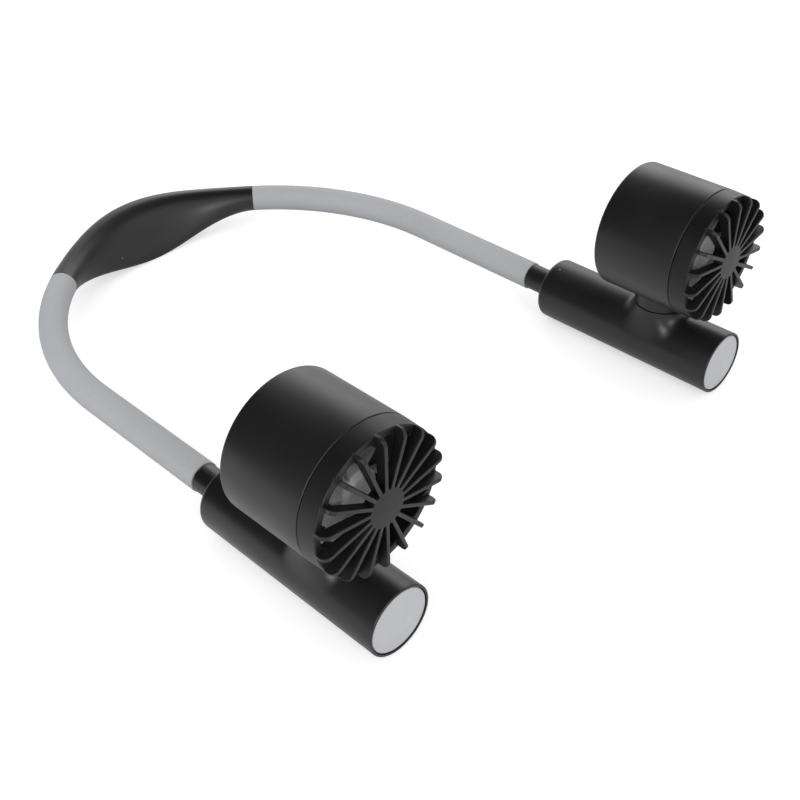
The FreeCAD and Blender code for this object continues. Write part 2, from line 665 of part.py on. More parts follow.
def front_grille(label):
    """Bezel with deep radial fins that stand out in front of it and meet at a hub disc."""
    body = new_body(label)
    corner_steps = 4
    corner = []
    for step in range(corner_steps + 1):
        angle = Size(90 * step / corner_steps, repr(90 * step / corner_steps))
        corner.append((fin_front + d.fin_corner * (1 - cosine(angle)),
                       fin_tip_radius - d.fin_corner * (1 - sine(angle))))
    fin_root = d.hub_radius / 2
    fin_points = [(fin_front, fin_root)] + corner
    fin_points += [(bezel_front + d.bezel_lip, fin_tip_radius),
                   (bezel_front + d.fin_sunk_outer, bezel_inner + d.bezel_lip / 2),
                   (bezel_front + d.fin_sunk_inner, d.hub_radius), (hub_back, fin_root)]
    fin = pad(body, "fin", outline(body, "fin_outline", "YZ_Plane", fin_points), d.fin_thick, midplane=True)
    rim = d.drum_radius - d.bezel_taper
    spigot = drum_inner - d.spigot_gap
    spigot_end = drum_front + d.spigot_length
    turned(body, "bezel", [
        (bezel_front, rim - d.bezel_lip), (bezel_front, rim), (drum_front, d.drum_radius),
        (drum_front, spigot), (spigot_end, spigot), (spigot_end, bezel_inner),
        (bezel_front + d.bezel_bevel, bezel_inner)])
    turned(body, "hub", tube_points(fin_front, hub_back, 0, d.hub_radius))
    repeated(body, "fins", fin, d.fin_count)
    return body


def blade_section(body, name, radius, chord, pitch):
    """Cross-section of a blade: a bent strip, set at its pitch, at a distance from the fan axis."""
    along = blade_depth / 2
    half = d.blade_thick / 2
    stations = ((-0.5, 0), (0, d.blade_camber), (0.5, 0))
    strip = [(share, hollow + half) for share, hollow in stations]
    strip += [(share, hollow - half) for share, hollow in reversed(stations)]
    points = []
    for share, height in strip:
        across = chord * share
        points.append((across * cosine(pitch) - height * sine(pitch),
                       blade_front + along + across * sine(pitch) + height * cosine(pitch)))
    return outline(body, name, "XY_Plane", points, radius)


def impeller(label):
    """Hub with twisted, cambered blades."""
    body = new_body(label)
    nose = d.impeller_hub_radius - d.impeller_nose
    bore = d.shaft_radius + d.press_gap
    turned(body, "hub", [
        (impeller_front, 0), (impeller_front, nose), (impeller_front + d.impeller_nose, d.impeller_hub_radius),
        (hub_rear, d.impeller_hub_radius), (hub_rear, bore), (shaft_start, bore), (shaft_start, 0)])
    tip_half = d.blade_tip_chord / 2 * cosine(d.blade_tip_pitch) + d.blade_thick / 2 * sine(d.blade_tip_pitch)
    tip = chord_height(bezel_inner - d.blade_gap, tip_half)
    root = d.impeller_hub_radius - d.blade_thick * 1.6
    sections = [
        blade_section(body, "root", root, d.blade_root_chord, d.blade_root_pitch),
        blade_section(body, "tip", tip, d.blade_tip_chord, d.blade_tip_pitch)]
    blade = body.newObject("PartDesign::AdditiveLoft", f"{body.Name}_blade")
    blade.Profile = sections[0]
    blade.Sections = sections[1:]
    blade.Ruled = True
    repeated(body, "blades", blade, d.blade_count)
    return body


def motor_shaft(label):
    body = new_body(label)
    turned(body, "rod", tube_points(shaft_start, shaft_end, 0, d.shaft_radius))
    return body


def motor_can(label):
    """Motor body with a seat for its bush, a blind shaft hole and two screw holes."""
    body = new_body(label)
    hole = d.shaft_radius + d.shaft_clearance * 2
    seat = d.bush_radius + d.press_gap
    hole_end = shaft_end + d.rotor_gap
    turned(body, "can", [
        (motor_front, seat), (motor_front, d.motor_radius), (plate_front, d.motor_radius), (plate_front, 0),
        (hole_end, 0), (hole_end, hole), (motor_front + d.bush_length, hole), (motor_front + d.bush_length, seat)])
    rounded(body, "front_edge", d.motor_round, ring_edge(motor_front, d.motor_radius))
    for name, way in (("first", -1), ("second", 1)):
        screw = circles(body, name + "_screw_circle", "XZ_Plane", (d.screw_offset * way, 0),
                        [d.screw_radius + d.press_gap], -plate_front)
        pocket(body, name + "_screw_hole", screw, d.screw_length - d.grille_thick + 0.5, reverse=True)
    return body


def motor_bush(label):
    body = new_body(label)
    turned(body, "ring", tube_points(motor_front, motor_front + d.bush_length,
                                     d.shaft_radius + d.shaft_clearance, d.bush_radius))
    return body


def rear_grille(label):
    """Spoked intake plate with the cup that holds the motor."""
    body = new_body(label)
    cup_inner = d.motor_radius + d.cup_gap
    rim = drum_inner - d.grille_gap
    turned(body, "plate", [
        (plate_rear, 0), (plate_rear, rim), (plate_front, rim), (plate_front, cup_outer),
        (plate_front - cup_depth, cup_outer), (plate_front - cup_depth, cup_inner),
        (plate_front, cup_inner), (plate_front, 0)])
    half_step = tangent(180 / d.fin_count)
    low = cup_outer + d.spoke_thick
    high = rim - d.grille_rim
    low_half = low * half_step - d.spoke_thick / 2
    high_half = high * half_step - d.spoke_thick / 2
    slot = outline(body, "slot_outline", "XZ_Plane",
                   [(-low_half, low), (low_half, low), (high_half, high), (-high_half, high)], 1 - plate_front)
    slots = pocket(body, "slot", slot, d.grille_thick + 2)
    repeated(body, "slots", slots, d.fin_count)
    for name, way in (("first", -1), ("second", 1)):
        screw = circles(body, name + "_screw_circle", "XZ_Plane", (d.screw_offset * way, 0),
                        [d.screw_radius + d.press_gap], 1 - plate_front)
        pocket(body, name + "_screw_hole", screw, d.grille_thick + 2)
    return body


def motor_screws(label):
    """Two screws through the rear grille into the motor, as one group."""
    screws = []
    for name, way in (("first", -1), ("second", 1)):
        rods = []
        for kind, radius, start, length in (
                ("shank", d.screw_radius, plate_rear - d.screw_length, d.screw_length),
                ("head", d.screw_head_radius, plate_rear, d.screw_head_height)):
            rod = doc.addObject("Part::Cylinder", f"{label}_{name}_{kind}")
            bind(rod, "Radius", radius)
            bind(rod, "Height", length)
            rod.Placement = Placement(Vector(), Rotation(Vector(1, 0, 0), -90))
            rod.setExpression("Placement.Base.x", (d.screw_offset * way).text)
            rod.setExpression("Placement.Base.y", start.text)
            rods.append(rod)
        screw = doc.addObject("Part::Fuse", f"{label}_{name}")
        screw.Base, screw.Tool = rods
        screws.append(screw)
    group = doc.addObject("Part::Compound", label)
    group.Label = label
    group.Links = screws
    parts[label] = group
    return group


def rounded_route(points, bend):
    """Wire of straight runs joined by tangent arcs of one radius."""
    edges = []
    start = points[0]
    for before, corner, after in zip(points, points[1:], points[2:]):
        back = (before - corner).normalize()
        ahead = (after - corner).normalize()
        half = back.getAngle(ahead) / 2
        reach = bend / math.tan(half)
        middle = corner + (back + ahead).normalize() * (bend / math.sin(half) - bend)
        edges.append(Part.LineSegment(start, corner + back * reach).toShape())
        edges.append(Part.Arc(corner + back * reach, middle, corner + ahead * reach).toShape())
        start = corner + ahead * reach
    edges.append(Part.LineSegment(start, points[-1]).toShape())
    return Part.Wire(edges)


def motor_lead(label):
    """Lead from the motor cup down the rear grille, along the drum floor and through the pivot."""
    radius = d.motor_lead_radius.value
    gap = d.motor_lead_gap.value
    floor = -(drum_inner.value - gap - radius)
    behind = plate_front.value - gap - radius
    pivot = d.pivot_along.value
    points = [Vector(0, behind, -(cup_outer.value + gap)), Vector(0, behind, floor), Vector(0, pivot, floor),
              Vector(0, pivot, -(stub_bottom.value + d.motor_lead_tail.value))]
    route = rounded_route(points, d.motor_lead_bend.value)
    section = Part.Wire(Part.Circle(points[0], points[1] - points[0], radius).toShape())
    lead = doc.addObject("Part::Feature", label)
    lead.Label = label
    lead.Shape = route.makePipeShell([section], True, False)
    parts[label] = lead
    return lead


def arm_collar(label):
    """Sleeve-sized collar: tenon through the barrel's rear wall, seat for the core, spigot for the sleeve."""
    body = new_body(label)
    tenon_front = rear_wall_front - d.ring_thick - d.clip_gap
    spigot_rear = collar_end + d.collar_spigot
    lead_hole = lead_radius + d.lead_gap
    turned(body, "collar", [
        (tenon_front, lead_hole), (tenon_front, tenon_radius), (d.barrel_length, tenon_radius),
        (d.barrel_length, collar_radius), (collar_end, collar_radius), (collar_end, spigot_radius),
        (spigot_rear, spigot_radius), (spigot_rear, core_hole), (core_start, core_hole), (core_start, lead_hole)])
    rounded(body, "rear_edge", d.collar_round, ring_edge(collar_end, collar_radius))
    return body


def collar_ring(label):
    body = new_body(label)
    turned(body, "ring", tube_points(rear_wall_front - d.ring_thick, rear_wall_front,
                                     tenon_radius + d.press_gap, tenon_radius + d.ring_width))
    return body


def arm_bend(body, name, radii, bend_radius, angle, way, base, turned_by):
    """Turn a round section about a vertical axis on the inner side of the arm."""
    sketch = circles(body, name + "_circles", "XZ_Plane", (0, 0), radii)
    sketch.AttachmentOffset = Placement(Vector(), Rotation(Vector(0, 1, 0), way * turned_by.value))
    sketch.setExpression("AttachmentOffset.Base.x", as_size(base[0]).text)
    sketch.setExpression("AttachmentOffset.Base.z", (-base[1]).text)
    side = bend_radius * -way
    ends = [Vector(side.value, -way, 0), Vector(side.value, way, 0)]
    axis = sketch.addGeometry(Part.LineSegment(*ends), True)
    pin_point(sketch, axis, 1, (side, -way))
    pin_point(sketch, axis, 2, (side, way))
    turn = body.newObject("PartDesign::Revolution", f"{body.Name}_{name}")
    turn.Profile = sketch
    turn.ReferenceAxis = (sketch, ["Axis0"])
    bind(turn, "Angle", angle)
    return turn


def arm_tube(label, way, start, radii, pod_turn=None):
    """Tube along the arm: a straight run, the arm's bend and, where it goes on, part of the pod's bend."""
    body = new_body(label)
    bend_start = d.barrel_length + d.arm_straight
    ring = circles(body, "start_circles", "XZ_Plane", (0, 0), radii, -start)
    pad(body, "straight", ring, bend_start - start, reverse=True)
    arm_bend(body, "bend", radii, d.arm_bend_radius, d.arm_turn, way, (0, bend_start), as_size(0))
    if pod_turn is not None:
        arm_bend(body, "pod_bend", radii, pod_radius, pod_turn, way,
                 (arm_inset * -way, bend_start + arm_rise), d.arm_turn)
    return body


def core_ferrule(label, way):
    """Sleeve crimped on the core's end inside the pod, from the core's end back along the pod's bend."""
    body = new_body(label)
    end_turn = d.arm_turn + (d.core_in_pod - d.ferrule_length) * degrees_per_length
    reach = (d.core_in_pod - d.ferrule_length) * degrees_per_length
    base = (-way * (arm_inset + pod_radius * (cosine(d.arm_turn) - cosine(end_turn))),
            d.barrel_length + d.arm_straight + arm_rise + pod_radius * (sine(end_turn) - sine(d.arm_turn)))
    arm_bend(body, "tube", [core_hole, ferrule_radius], pod_radius,
             d.ferrule_length * degrees_per_length, way, base, d.arm_turn + reach)
    return body


def pod_section(turn):
    """Closed section of the pod's outside, at an angle from its middle: a leaf that ends in circles.

    Each of the leaf's points is (across, normal) from the lead hole, with its angle on the circle at the ends.
    """
    tilt = math.radians(d.pod_tilt.value)
    middle_share = max(0.0, math.cos(math.pi / 2 * turn / pod_half_turn.value))
    down = (d.barrel_radius.value - d.pod_lift.value) / math.sin(tilt)
    up = d.pod_reach_up.value
    leaf = [(up, 0, 0), (0.75 * up, d.pod_rim.value, 45), (0.35 * up, d.pod_crown.value, 75),
            (-0.2 * down, d.pod_face.value, 105), (-0.62 * down, d.pod_edge.value, 135), (-down, 0, 180),
            (-0.62 * down, -d.pod_edge_back.value, 225), (0, -d.pod_back.value, 270),
            (0.7 * up, -d.pod_rim_back.value, 315)]
    outward = Vector(math.sin(math.radians(turn)), math.cos(math.radians(turn)), 0)
    points = []
    for across, normal, degrees in leaf:
        angle = math.radians(degrees)
        share = middle_share ** (d.pod_swell_low if across < 0 else d.pod_swell).value
        u = share * across + (1 - share) * pod_end_radius.value * math.cos(angle)
        v = share * normal + (1 - share) * pod_end_radius.value * math.sin(angle)
        radial = pod_radius.value + u * math.cos(tilt) - v * math.sin(tilt)
        points.append(outward * radial + Vector(0, 0, u * math.sin(tilt) + v * math.cos(tilt)))
    curve = Part.BSplineCurve()
    curve.interpolate(Points=points, PeriodicFlag=True)
    return Part.Wire(curve.toShape())


def about_pod_axis(face, turn_low, turn_high):
    """Turn a face, drawn at the pod's middle, about the pod's vertical axis between two angles."""
    start = face.copy()
    start.rotate(Vector(), Vector(0, 0, 1), -turn_low)
    return start.revolve(Vector(), Vector(0, 0, 1), turn_low - turn_high)


def pod_channel(radius, turn_low, turn_high):
    circle = Part.Circle(Vector(0, pod_radius.value, 0), Vector(1, 0, 0), radius)
    return about_pod_axis(Part.Face(Part.Wire(circle.toShape())), turn_low, turn_high)


def neck_pod():
    """Leaf-shaped pod, parted into the neck-side shell and the cover on its rear."""
    sections = 11
    end = pod_half_turn.value
    form = Part.makeLoft([pod_section(end * (2 * i / (sections - 1) - 1)) for i in range(sections)], True, False)
    tilt = math.radians(d.pod_tilt.value)
    reach = 4 * d.barrel_radius.value
    seam = d.pod_seam.value
    corners = []
    for u, v in ((-reach, -seam), (reach, -seam), (reach, -reach), (-reach, -reach)):
        corners.append(Vector(0, pod_radius.value + u * math.cos(tilt) - v * math.sin(tilt),
                              u * math.sin(tilt) + v * math.cos(tilt)))
    cover_end = end - (d.pod_cover_inset * degrees_per_length).value
    region = about_pod_axis(Part.Face(Part.makePolygon(corners + corners[:1])), -cover_end, cover_end)
    gap = d.pod_channel_gap.value
    core_end = end - (d.core_in_pod * degrees_per_length).value - 1
    shell = form.cut(region)
    shell = shell.cut(pod_channel(d.joint_radius.value + gap, -end, end))
    for low, high in ((-end, -core_end), (core_end, end)):
        shell = shell.cut(pod_channel(ferrule_radius.value + gap / 3, low, high))
    for label, shape in (("neck_pod_shell", shell), ("neck_pod_cover", form.common(region))):
        piece = doc.addObject("Part::Feature", label)
        piece.Label = label
        piece.Shape = shape.removeSplitter()
        parts[label] = piece
    return form


def lead_joint(label):
    """Sleeve over the joint of the two arm leads, at the pod's middle."""
    half = (d.joint_half_length * degrees_per_length).value
    hole = pod_channel(lead_radius.value + d.press_gap.value, -half, half)
    joint = doc.addObject("Part::Feature", label)
    joint.Label = label
    joint.Shape = pod_channel(d.joint_radius.value, -half, half).cut(hole)
    parts[label] = joint
    return joint


def build_side(side, way, front):
    """All pieces of one arm, barrel and fan head."""
    axis = (d.barrel_spacing / 2 * way, front, d.barrel_radius)
    drum_axis = (axis[0], front, d.barrel_radius + drum_height)
    at_barrel = [
        barrel_shell(f"{side}_barrel_shell", has_port=way < 0),
        end_button(f"{side}_end_button"), button_carrier(f"{side}_button_carrier"),
        button_clip(f"{side}_button_clip"), switch_case(f"{side}_switch_case"),
        switch_plunger(f"{side}_switch_plunger"), control_board(f"{side}_control_board"),
        swivel_washer(f"{side}_swivel_washer"), arm_collar(f"{side}_arm_collar"),
        collar_ring(f"{side}_collar_ring"),
        arm_tube(f"{side}_arm_sleeve", way, collar_end, [d.sleeve_radius, sleeve_bore]),
        arm_tube(f"{side}_gooseneck_core", way, core_start, [core_radius, core_bore],
                 d.core_in_pod * degrees_per_length),
        arm_tube(f"{side}_arm_lead", way, cell_rear + d.lead_gap, [lead_radius], pod_half_turn),
        core_ferrule(f"{side}_core_ferrule", way)]
    if way < 0:
        at_barrel.append(charge_port(f"{side}_charge_port"))
    at_drum = [
        fan_drum(f"{side}_fan_drum"), swivel_clip(f"{side}_swivel_clip"), front_grille(f"{side}_front_grille"),
        rear_grille(f"{side}_rear_grille"), motor_can(f"{side}_motor_can"), motor_bush(f"{side}_motor_bush"),
        motor_screws(f"{side}_motor_screws"), motor_lead(f"{side}_motor_lead"),
        impeller(f"{side}_impeller"), motor_shaft(f"{side}_motor_shaft")]
    for piece in at_barrel:
        place(piece, axis)
    for piece in at_drum:
        place(piece, drum_axis)
    place(battery_cell(f"{side}_battery_cell"), (axis[0], front, d.barrel_radius - cell_drop))


# The object is as long as from the barrels' front rims to the pod's rear, with its middle at the origin.
pod_form = neck_pod()
front_rim = -(pod_centre_along.value + pod_form.optimalBoundingBox().YMax) / 2
lead_joint("lead_joint")
for label in ("neck_pod_shell", "neck_pod_cover", "lead_joint"):
    place(parts[label], (0, front_rim + pod_centre_along, d.barrel_radius))
for side, way in SIDES:
    build_side(side, way, front_rim)
doc.recompute()

for item in doc.Objects:
    if "Invalid" in item.State or "Error" in item.State:
        raise RuntimeError(f"{item.Label} failed: {item.State}")
for label, piece in parts.items():
    if piece.Shape.isNull() or not piece.Shape.isValid() or not piece.Shape.Solids:
        raise RuntimeError(f"{label} has no valid solid")

os.makedirs("parts", exist_ok=True)
for label, piece in parts.items():
    piece.Shape.exportStep(f"parts/{label}.step")
print(len(parts), "parts written, front rim at", round(front_rim, 3))
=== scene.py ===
"""Electric neck fan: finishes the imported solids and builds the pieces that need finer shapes.

Frame: X towards the wearer's left, Y from the grilles back to the neck pod, Z up, in metres.
Places "along" a fan are measured back from the front of its fins.
"""

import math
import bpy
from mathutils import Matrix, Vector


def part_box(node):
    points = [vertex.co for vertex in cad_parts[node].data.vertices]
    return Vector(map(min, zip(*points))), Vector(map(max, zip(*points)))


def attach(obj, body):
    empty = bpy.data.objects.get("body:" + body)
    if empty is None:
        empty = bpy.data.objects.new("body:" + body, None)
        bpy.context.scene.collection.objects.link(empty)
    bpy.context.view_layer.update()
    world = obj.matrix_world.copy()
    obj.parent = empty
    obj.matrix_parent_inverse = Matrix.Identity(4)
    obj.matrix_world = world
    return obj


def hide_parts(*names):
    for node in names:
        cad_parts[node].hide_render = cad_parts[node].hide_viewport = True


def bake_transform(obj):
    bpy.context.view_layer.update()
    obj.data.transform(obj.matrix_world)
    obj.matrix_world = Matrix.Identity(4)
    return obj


bl_info = {
    "name": "Neck Fan",
    "version": (1, 0, 0),
    "blender": (4, 5, 0),
    "location": "View3D > Sidebar > Neck Fan",
    "description": "Builds and finishes the pieces of an electric neck fan",
    "category": "Object",
}

import bmesh
import bpy
import numpy
from bpy.props import FloatProperty, FloatVectorProperty, IntProperty, PointerProperty
from mathutils import Matrix, Vector

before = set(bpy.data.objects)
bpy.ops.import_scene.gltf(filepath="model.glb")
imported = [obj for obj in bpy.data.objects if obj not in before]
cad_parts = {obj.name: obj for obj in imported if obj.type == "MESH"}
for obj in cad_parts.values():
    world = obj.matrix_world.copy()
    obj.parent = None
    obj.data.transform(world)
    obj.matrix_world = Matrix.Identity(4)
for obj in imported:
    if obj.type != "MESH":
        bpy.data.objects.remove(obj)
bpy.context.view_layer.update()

SIDES = (("right", -1), ("left", 1))
MM = 0.001
GRAIN_DEPTH = 0.05 * MM
LINE_DEPTH = 0.02 * MM
DUST_COLOUR = (0.45, 0.44, 0.42)
WHITE = (1.0, 1.0, 1.0, 1.0)


class Fan:
    """Places of one fan and its barrel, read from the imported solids."""

    def __init__(self, side):
        low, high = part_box(f"{side}_fan_drum")
        self.radius = (high[0] - low[0]) / 2
        self.x = (high[0] + low[0]) / 2
        self.z = high[2] - self.radius
        self.drum_front = low[1]
        self.drum_rear = high[1]
        self.stub_end = low[2]
        low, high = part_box(f"{side}_front_grille")
        self.front = low[1]
        self.spigot_rear = high[1]
        self.centre = Vector((self.x, self.front, self.z))
        low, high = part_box(f"{side}_barrel_shell")
        self.barrel_radius = (high[0] - low[0]) / 2
        self.barrel_front = low[1]
        self.barrel_rear = high[1]
        self.barrel_z = low[2] + self.barrel_radius
        self.saddle_top = high[2]
        low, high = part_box(f"{side}_swivel_washer")
        self.washer_radius = (high[0] - low[0]) / 2
        self.washer_bottom = low[2]
        self.pivot_y = (low[1] + high[1]) / 2


class NeckFanSizes(bpy.types.PropertyGroup):
    """Sizes of the finer shapes."""
    fin_count: IntProperty(name="Fins", description="Fins of each front grille", default=18, min=6, max=40)
    fin_thick: FloatProperty(
        name="Fin thickness", description="Thickness of a grille fin",
        default=1.36 * MM, precision=5, subtype="DISTANCE", unit="LENGTH")
    fin_edge: FloatProperty(
        name="Fin edge", description="Rounding of a fin's edges",
        default=0.24 * MM, precision=5, subtype="DISTANCE", unit="LENGTH")
    fin_corner: FloatProperty(
        name="Fin corner", description="Rounding of a fin's outer front corner",
        default=2.6 * MM, precision=5, subtype="DISTANCE", unit="LENGTH")
    window_corner: FloatProperty(
        name="Window corner", description="Blend between a fin's side and the bezel",
        default=1.7 * MM, precision=5, subtype="DISTANCE", unit="LENGTH")
    hub_radius: FloatProperty(
        name="Hub radius", description="Disc that the fins meet at",
        default=6.8 * MM, precision=5, subtype="DISTANCE", unit="LENGTH")
    blade_count: IntProperty(name="Blades", description="Blades of each impeller", default=7, min=3, max=13)
    blade_thick: FloatProperty(
        name="Blade thickness", description="Thickness of an impeller blade",
        default=1.1 * MM, precision=5, subtype="DISTANCE", unit="LENGTH")
    saddle_flare: FloatProperty(
        name="Saddle flare",
        description="Blend of saddle and barrel, as a share of the largest that the saddle's height takes",
        default=1.0, min=0.2, max=1.0, subtype="FACTOR")
    pod_seam: FloatProperty(
        name="Pod seam", description="Width of the groove round the pod's cover",
        default=0.22 * MM, precision=5, subtype="DISTANCE", unit="LENGTH")
    coil_pitch: FloatProperty(
        name="Coil pitch", description="Distance between the turns of the gooseneck core",
        default=2.4 * MM, precision=5, subtype="DISTANCE", unit="LENGTH")


class NeckFanColours(bpy.types.PropertyGroup):
    """Colours of the finishes."""
    shell: FloatVectorProperty(
        name="Shell", description="Satin black of barrels, drums and pod",
        default=(0.0068, 0.0068, 0.0076), min=0, max=1, subtype="COLOR")
    # Painted shade: darker than the shell's black so that the fin sides look shadowed between the fins.
    grille: FloatVectorProperty(
        name="Grille", description="Black of the grilles",
        default=(0.0048, 0.0045, 0.0045), min=0, max=1, subtype="COLOR")
    sleeve: FloatVectorProperty(
        name="Sleeve", description="Pale grey of the arm sleeves",
        default=(0.343, 0.351, 0.364), min=0, max=1, subtype="COLOR")
    button: FloatVectorProperty(
        name="Button", description="Pale grey of the end buttons",
        default=(0.464, 0.468, 0.486), min=0, max=1, subtype="COLOR")
    impeller: FloatVectorProperty(
        name="Impeller", description="Grey of the impellers",
        default=(0.33, 0.335, 0.345), min=0, max=1, subtype="COLOR")
    floor: FloatVectorProperty(
        name="Floor", description="Pale floor under the fan",
        default=(0.62, 0.62, 0.62), min=0, max=1, subtype="COLOR")


def wire(tree, kind, inputs=None, **settings):
    """Add a node; inputs hold a socket to link from or a plain value, keyed by name or place."""
    node = tree.nodes.new(kind)
    for key, value in settings.items():
        setattr(node, key, value)
    for key, value in (inputs or {}).items():
        socket = node.inputs[key]
        if isinstance(value, bpy.types.NodeSocket):
            tree.links.new(value, socket)
        else:
            socket.default_value = value
    return node


def new_group(name, inputs, outputs):
    """Empty node group with named sockets; returns the group, its inputs and its output node."""
    group = bpy.data.node_groups.new(name, "ShaderNodeTree")
    for label, kind, value in inputs:
        socket = group.interface.new_socket(label, in_out="INPUT", socket_type=kind)
        socket.default_value = value
    for label, kind in outputs:
        group.interface.new_socket(label, in_out="OUTPUT", socket_type=kind)
    return group, group.nodes.new("NodeGroupInput").outputs, group.nodes.new("NodeGroupOutput")


def mix_colour(tree, factor, first, second):
    return wire(tree, "ShaderNodeMix", {0: factor, 6: first, 7: second}, data_type="RGBA").outputs[2]


def ranged(tree, value, low, high, to_low=0.0, to_high=1.0):
    return wire(tree, "ShaderNodeMapRange", {
        "Value": value, "From Min": low, "From Max": high,
        "To Min": to_low, "To Max": to_high}).outputs["Result"]


def maths(tree, operation, first, second):
    return wire(tree, "ShaderNodeMath", {0: first, 1: second}, operation=operation).outputs[0]


def times(tree, first, second):
    return maths(tree, "MULTIPLY", first, second)


def noise(tree, place, scale, detail, **more):
    return wire(tree, "ShaderNodeTexNoise", {
        "Vector": place, "Scale": scale, "Detail": detail, **more}).outputs["Fac"]


def shaded(tree, colour, scale):
    return wire(tree, "ShaderNodeVectorMath", {0: colour, "Scale": scale}, operation="SCALE").outputs[0]


def moulded_grain_group():
    """Spark-eroded mould texture with faint handling marks: colour, roughness and height."""
    name = "Moulded grain"
    if name in bpy.data.node_groups:
        return bpy.data.node_groups[name]
    tree, given, out = new_group(name, [
        ("Colour", "NodeSocketColor", (0.02, 0.02, 0.02, 1)), ("Grain Scale", "NodeSocketFloat", 2200.0),
        ("Roughness", "NodeSocketFloat", 0.4), ("Spread", "NodeSocketFloat", 0.05),
        ("Tint Spread", "NodeSocketFloat", 0.15)],
        [("Colour", "NodeSocketColor"), ("Roughness", "NodeSocketFloat"), ("Height", "NodeSocketFloat")])
    place = wire(tree, "ShaderNodeTexCoord").outputs["Object"]
    grain = noise(tree, place, given["Grain Scale"], 3.0, Roughness=0.6)
    smudge = noise(tree, place, 46.0, 4.0, Roughness=0.55, Distortion=0.6)
    broad = noise(tree, place, 14.0, 1.0)
    mark = maths(tree, "ADD", smudge, broad)
    swing = ranged(tree, mark, 0.7, 1.3, -1.0, 1.0)
    shade = maths(tree, "ADD", times(tree, swing, given["Tint Spread"]), 1.0)
    speck = ranged(tree, grain, 0.3, 0.7, 0.9, 1.1)
    colour = shaded(tree, given["Colour"], times(tree, shade, speck))
    rough = maths(tree, "ADD", given["Roughness"], times(tree, swing, given["Spread"]))
    tree.links.new(colour, out.inputs["Colour"])
    tree.links.new(rough, out.inputs["Roughness"])
    tree.links.new(grain, out.inputs["Height"])
    return tree


def dust_group():
    """Sparse pale specks, more of them on faces that look up."""
    name = "Dust specks"
    if name in bpy.data.node_groups:
        return bpy.data.node_groups[name]
    tree, given, out = new_group(name, [
        ("Scale", "NodeSocketFloat", 260.0), ("Share", "NodeSocketFloat", 0.05),
        ("Size", "NodeSocketFloat", 0.07)],
        [("Mask", "NodeSocketFloat")])
    place = wire(tree, "ShaderNodeTexCoord").outputs["Object"]
    cell = wire(tree, "ShaderNodeTexVoronoi", {"Vector": place, "Scale": given["Scale"], "Randomness": 1.0})
    chance = wire(tree, "ShaderNodeSeparateColor", {"Color": cell.outputs["Color"]})
    chosen = maths(tree, "LESS_THAN", chance.outputs["Red"], given["Share"])
    reach = times(tree, given["Size"], ranged(tree, chance.outputs["Green"], 0.0, 1.0, 0.5, 1.6))
    near = maths(tree, "LESS_THAN", cell.outputs["Distance"], reach)
    normal = wire(tree, "ShaderNodeNewGeometry").outputs["Normal"]
    facing = wire(tree, "ShaderNodeSeparateXYZ", {"Vector": normal})
    upward = ranged(tree, facing.outputs["Z"], -0.3, 0.9, 0.15, 1.0)
    tree.links.new(times(tree, times(tree, chosen, near), upward), out.inputs["Mask"])
    return tree


def edge_wear_group():
    """Mask of convex edges, broken up where handling polishes them."""
    name = "Edge wear"
    if name in bpy.data.node_groups:
        return bpy.data.node_groups[name]
    tree, given, out = new_group(name, [
        ("From", "NodeSocketFloat", 0.52), ("To", "NodeSocketFloat", 0.62)],
        [("Mask", "NodeSocketFloat")])
    place = wire(tree, "ShaderNodeTexCoord").outputs["Object"]
    sharp = wire(tree, "ShaderNodeNewGeometry").outputs["Pointiness"]
    mask = ranged(tree, sharp, given["From"], given["To"])
    patch = noise(tree, place, 220.0, 3.0)
    tree.links.new(times(tree, mask, ranged(tree, patch, 0.35, 0.65, 0.35, 1.0)), out.inputs["Mask"])
    return tree


def drawn_metal_group():
    """Fine lines along the piece, as drawing and turning leave them: colour, roughness and height."""
    name = "Drawn metal"
    if name in bpy.data.node_groups:
        return bpy.data.node_groups[name]
    tree, given, out = new_group(name, [
        ("Colour", "NodeSocketColor", (0.5, 0.5, 0.5, 1)), ("Roughness", "NodeSocketFloat", 0.35)],
        [("Colour", "NodeSocketColor"), ("Roughness", "NodeSocketFloat"), ("Height", "NodeSocketFloat")])
    place = wire(tree, "ShaderNodeTexCoord").outputs["Object"]
    drawn = wire(tree, "ShaderNodeMapping", {"Vector": place, "Scale": (1.0, 0.06, 1.0)}).outputs[0]
    lines = noise(tree, drawn, 3200.0, 2.0)
    cloud = noise(tree, place, 120.0, 3.0)
    shade = times(tree, ranged(tree, lines, 0.3, 0.7, 0.88, 1.08), ranged(tree, cloud, 0.3, 0.7, 0.9, 1.06))
    colour = shaded(tree, given["Colour"], shade)
    rough = maths(tree, "ADD", given["Roughness"], ranged(tree, cloud, 0.3, 0.7, -0.06, 0.1))
    tree.links.new(colour, out.inputs["Colour"])
    tree.links.new(rough, out.inputs["Roughness"])
    tree.links.new(lines, out.inputs["Height"])
    return tree


def new_material(name):
    """Material with a Principled shader; returns it with its tree and shader."""
    material = bpy.data.materials.new(name)
    material.use_nodes = True
    tree = material.node_tree
    shader = next(node for node in tree.nodes if node.type == "BSDF_PRINCIPLED")
    return material, tree, shader


def bumped(tree, shader, height, strength, distance):
    bump = wire(tree, "ShaderNodeBump", {"Strength": strength, "Distance": distance, "Height": height})
    tree.links.new(bump.outputs["Normal"], shader.inputs["Normal"])


def rgba(colour):
    return (colour[0], colour[1], colour[2], 1.0)


def place_group(tree, group, values):
    node = tree.nodes.new("ShaderNodeGroup")
    node.node_tree = group
    for key, value in values.items():
        node.inputs[key].default_value = value
    return node


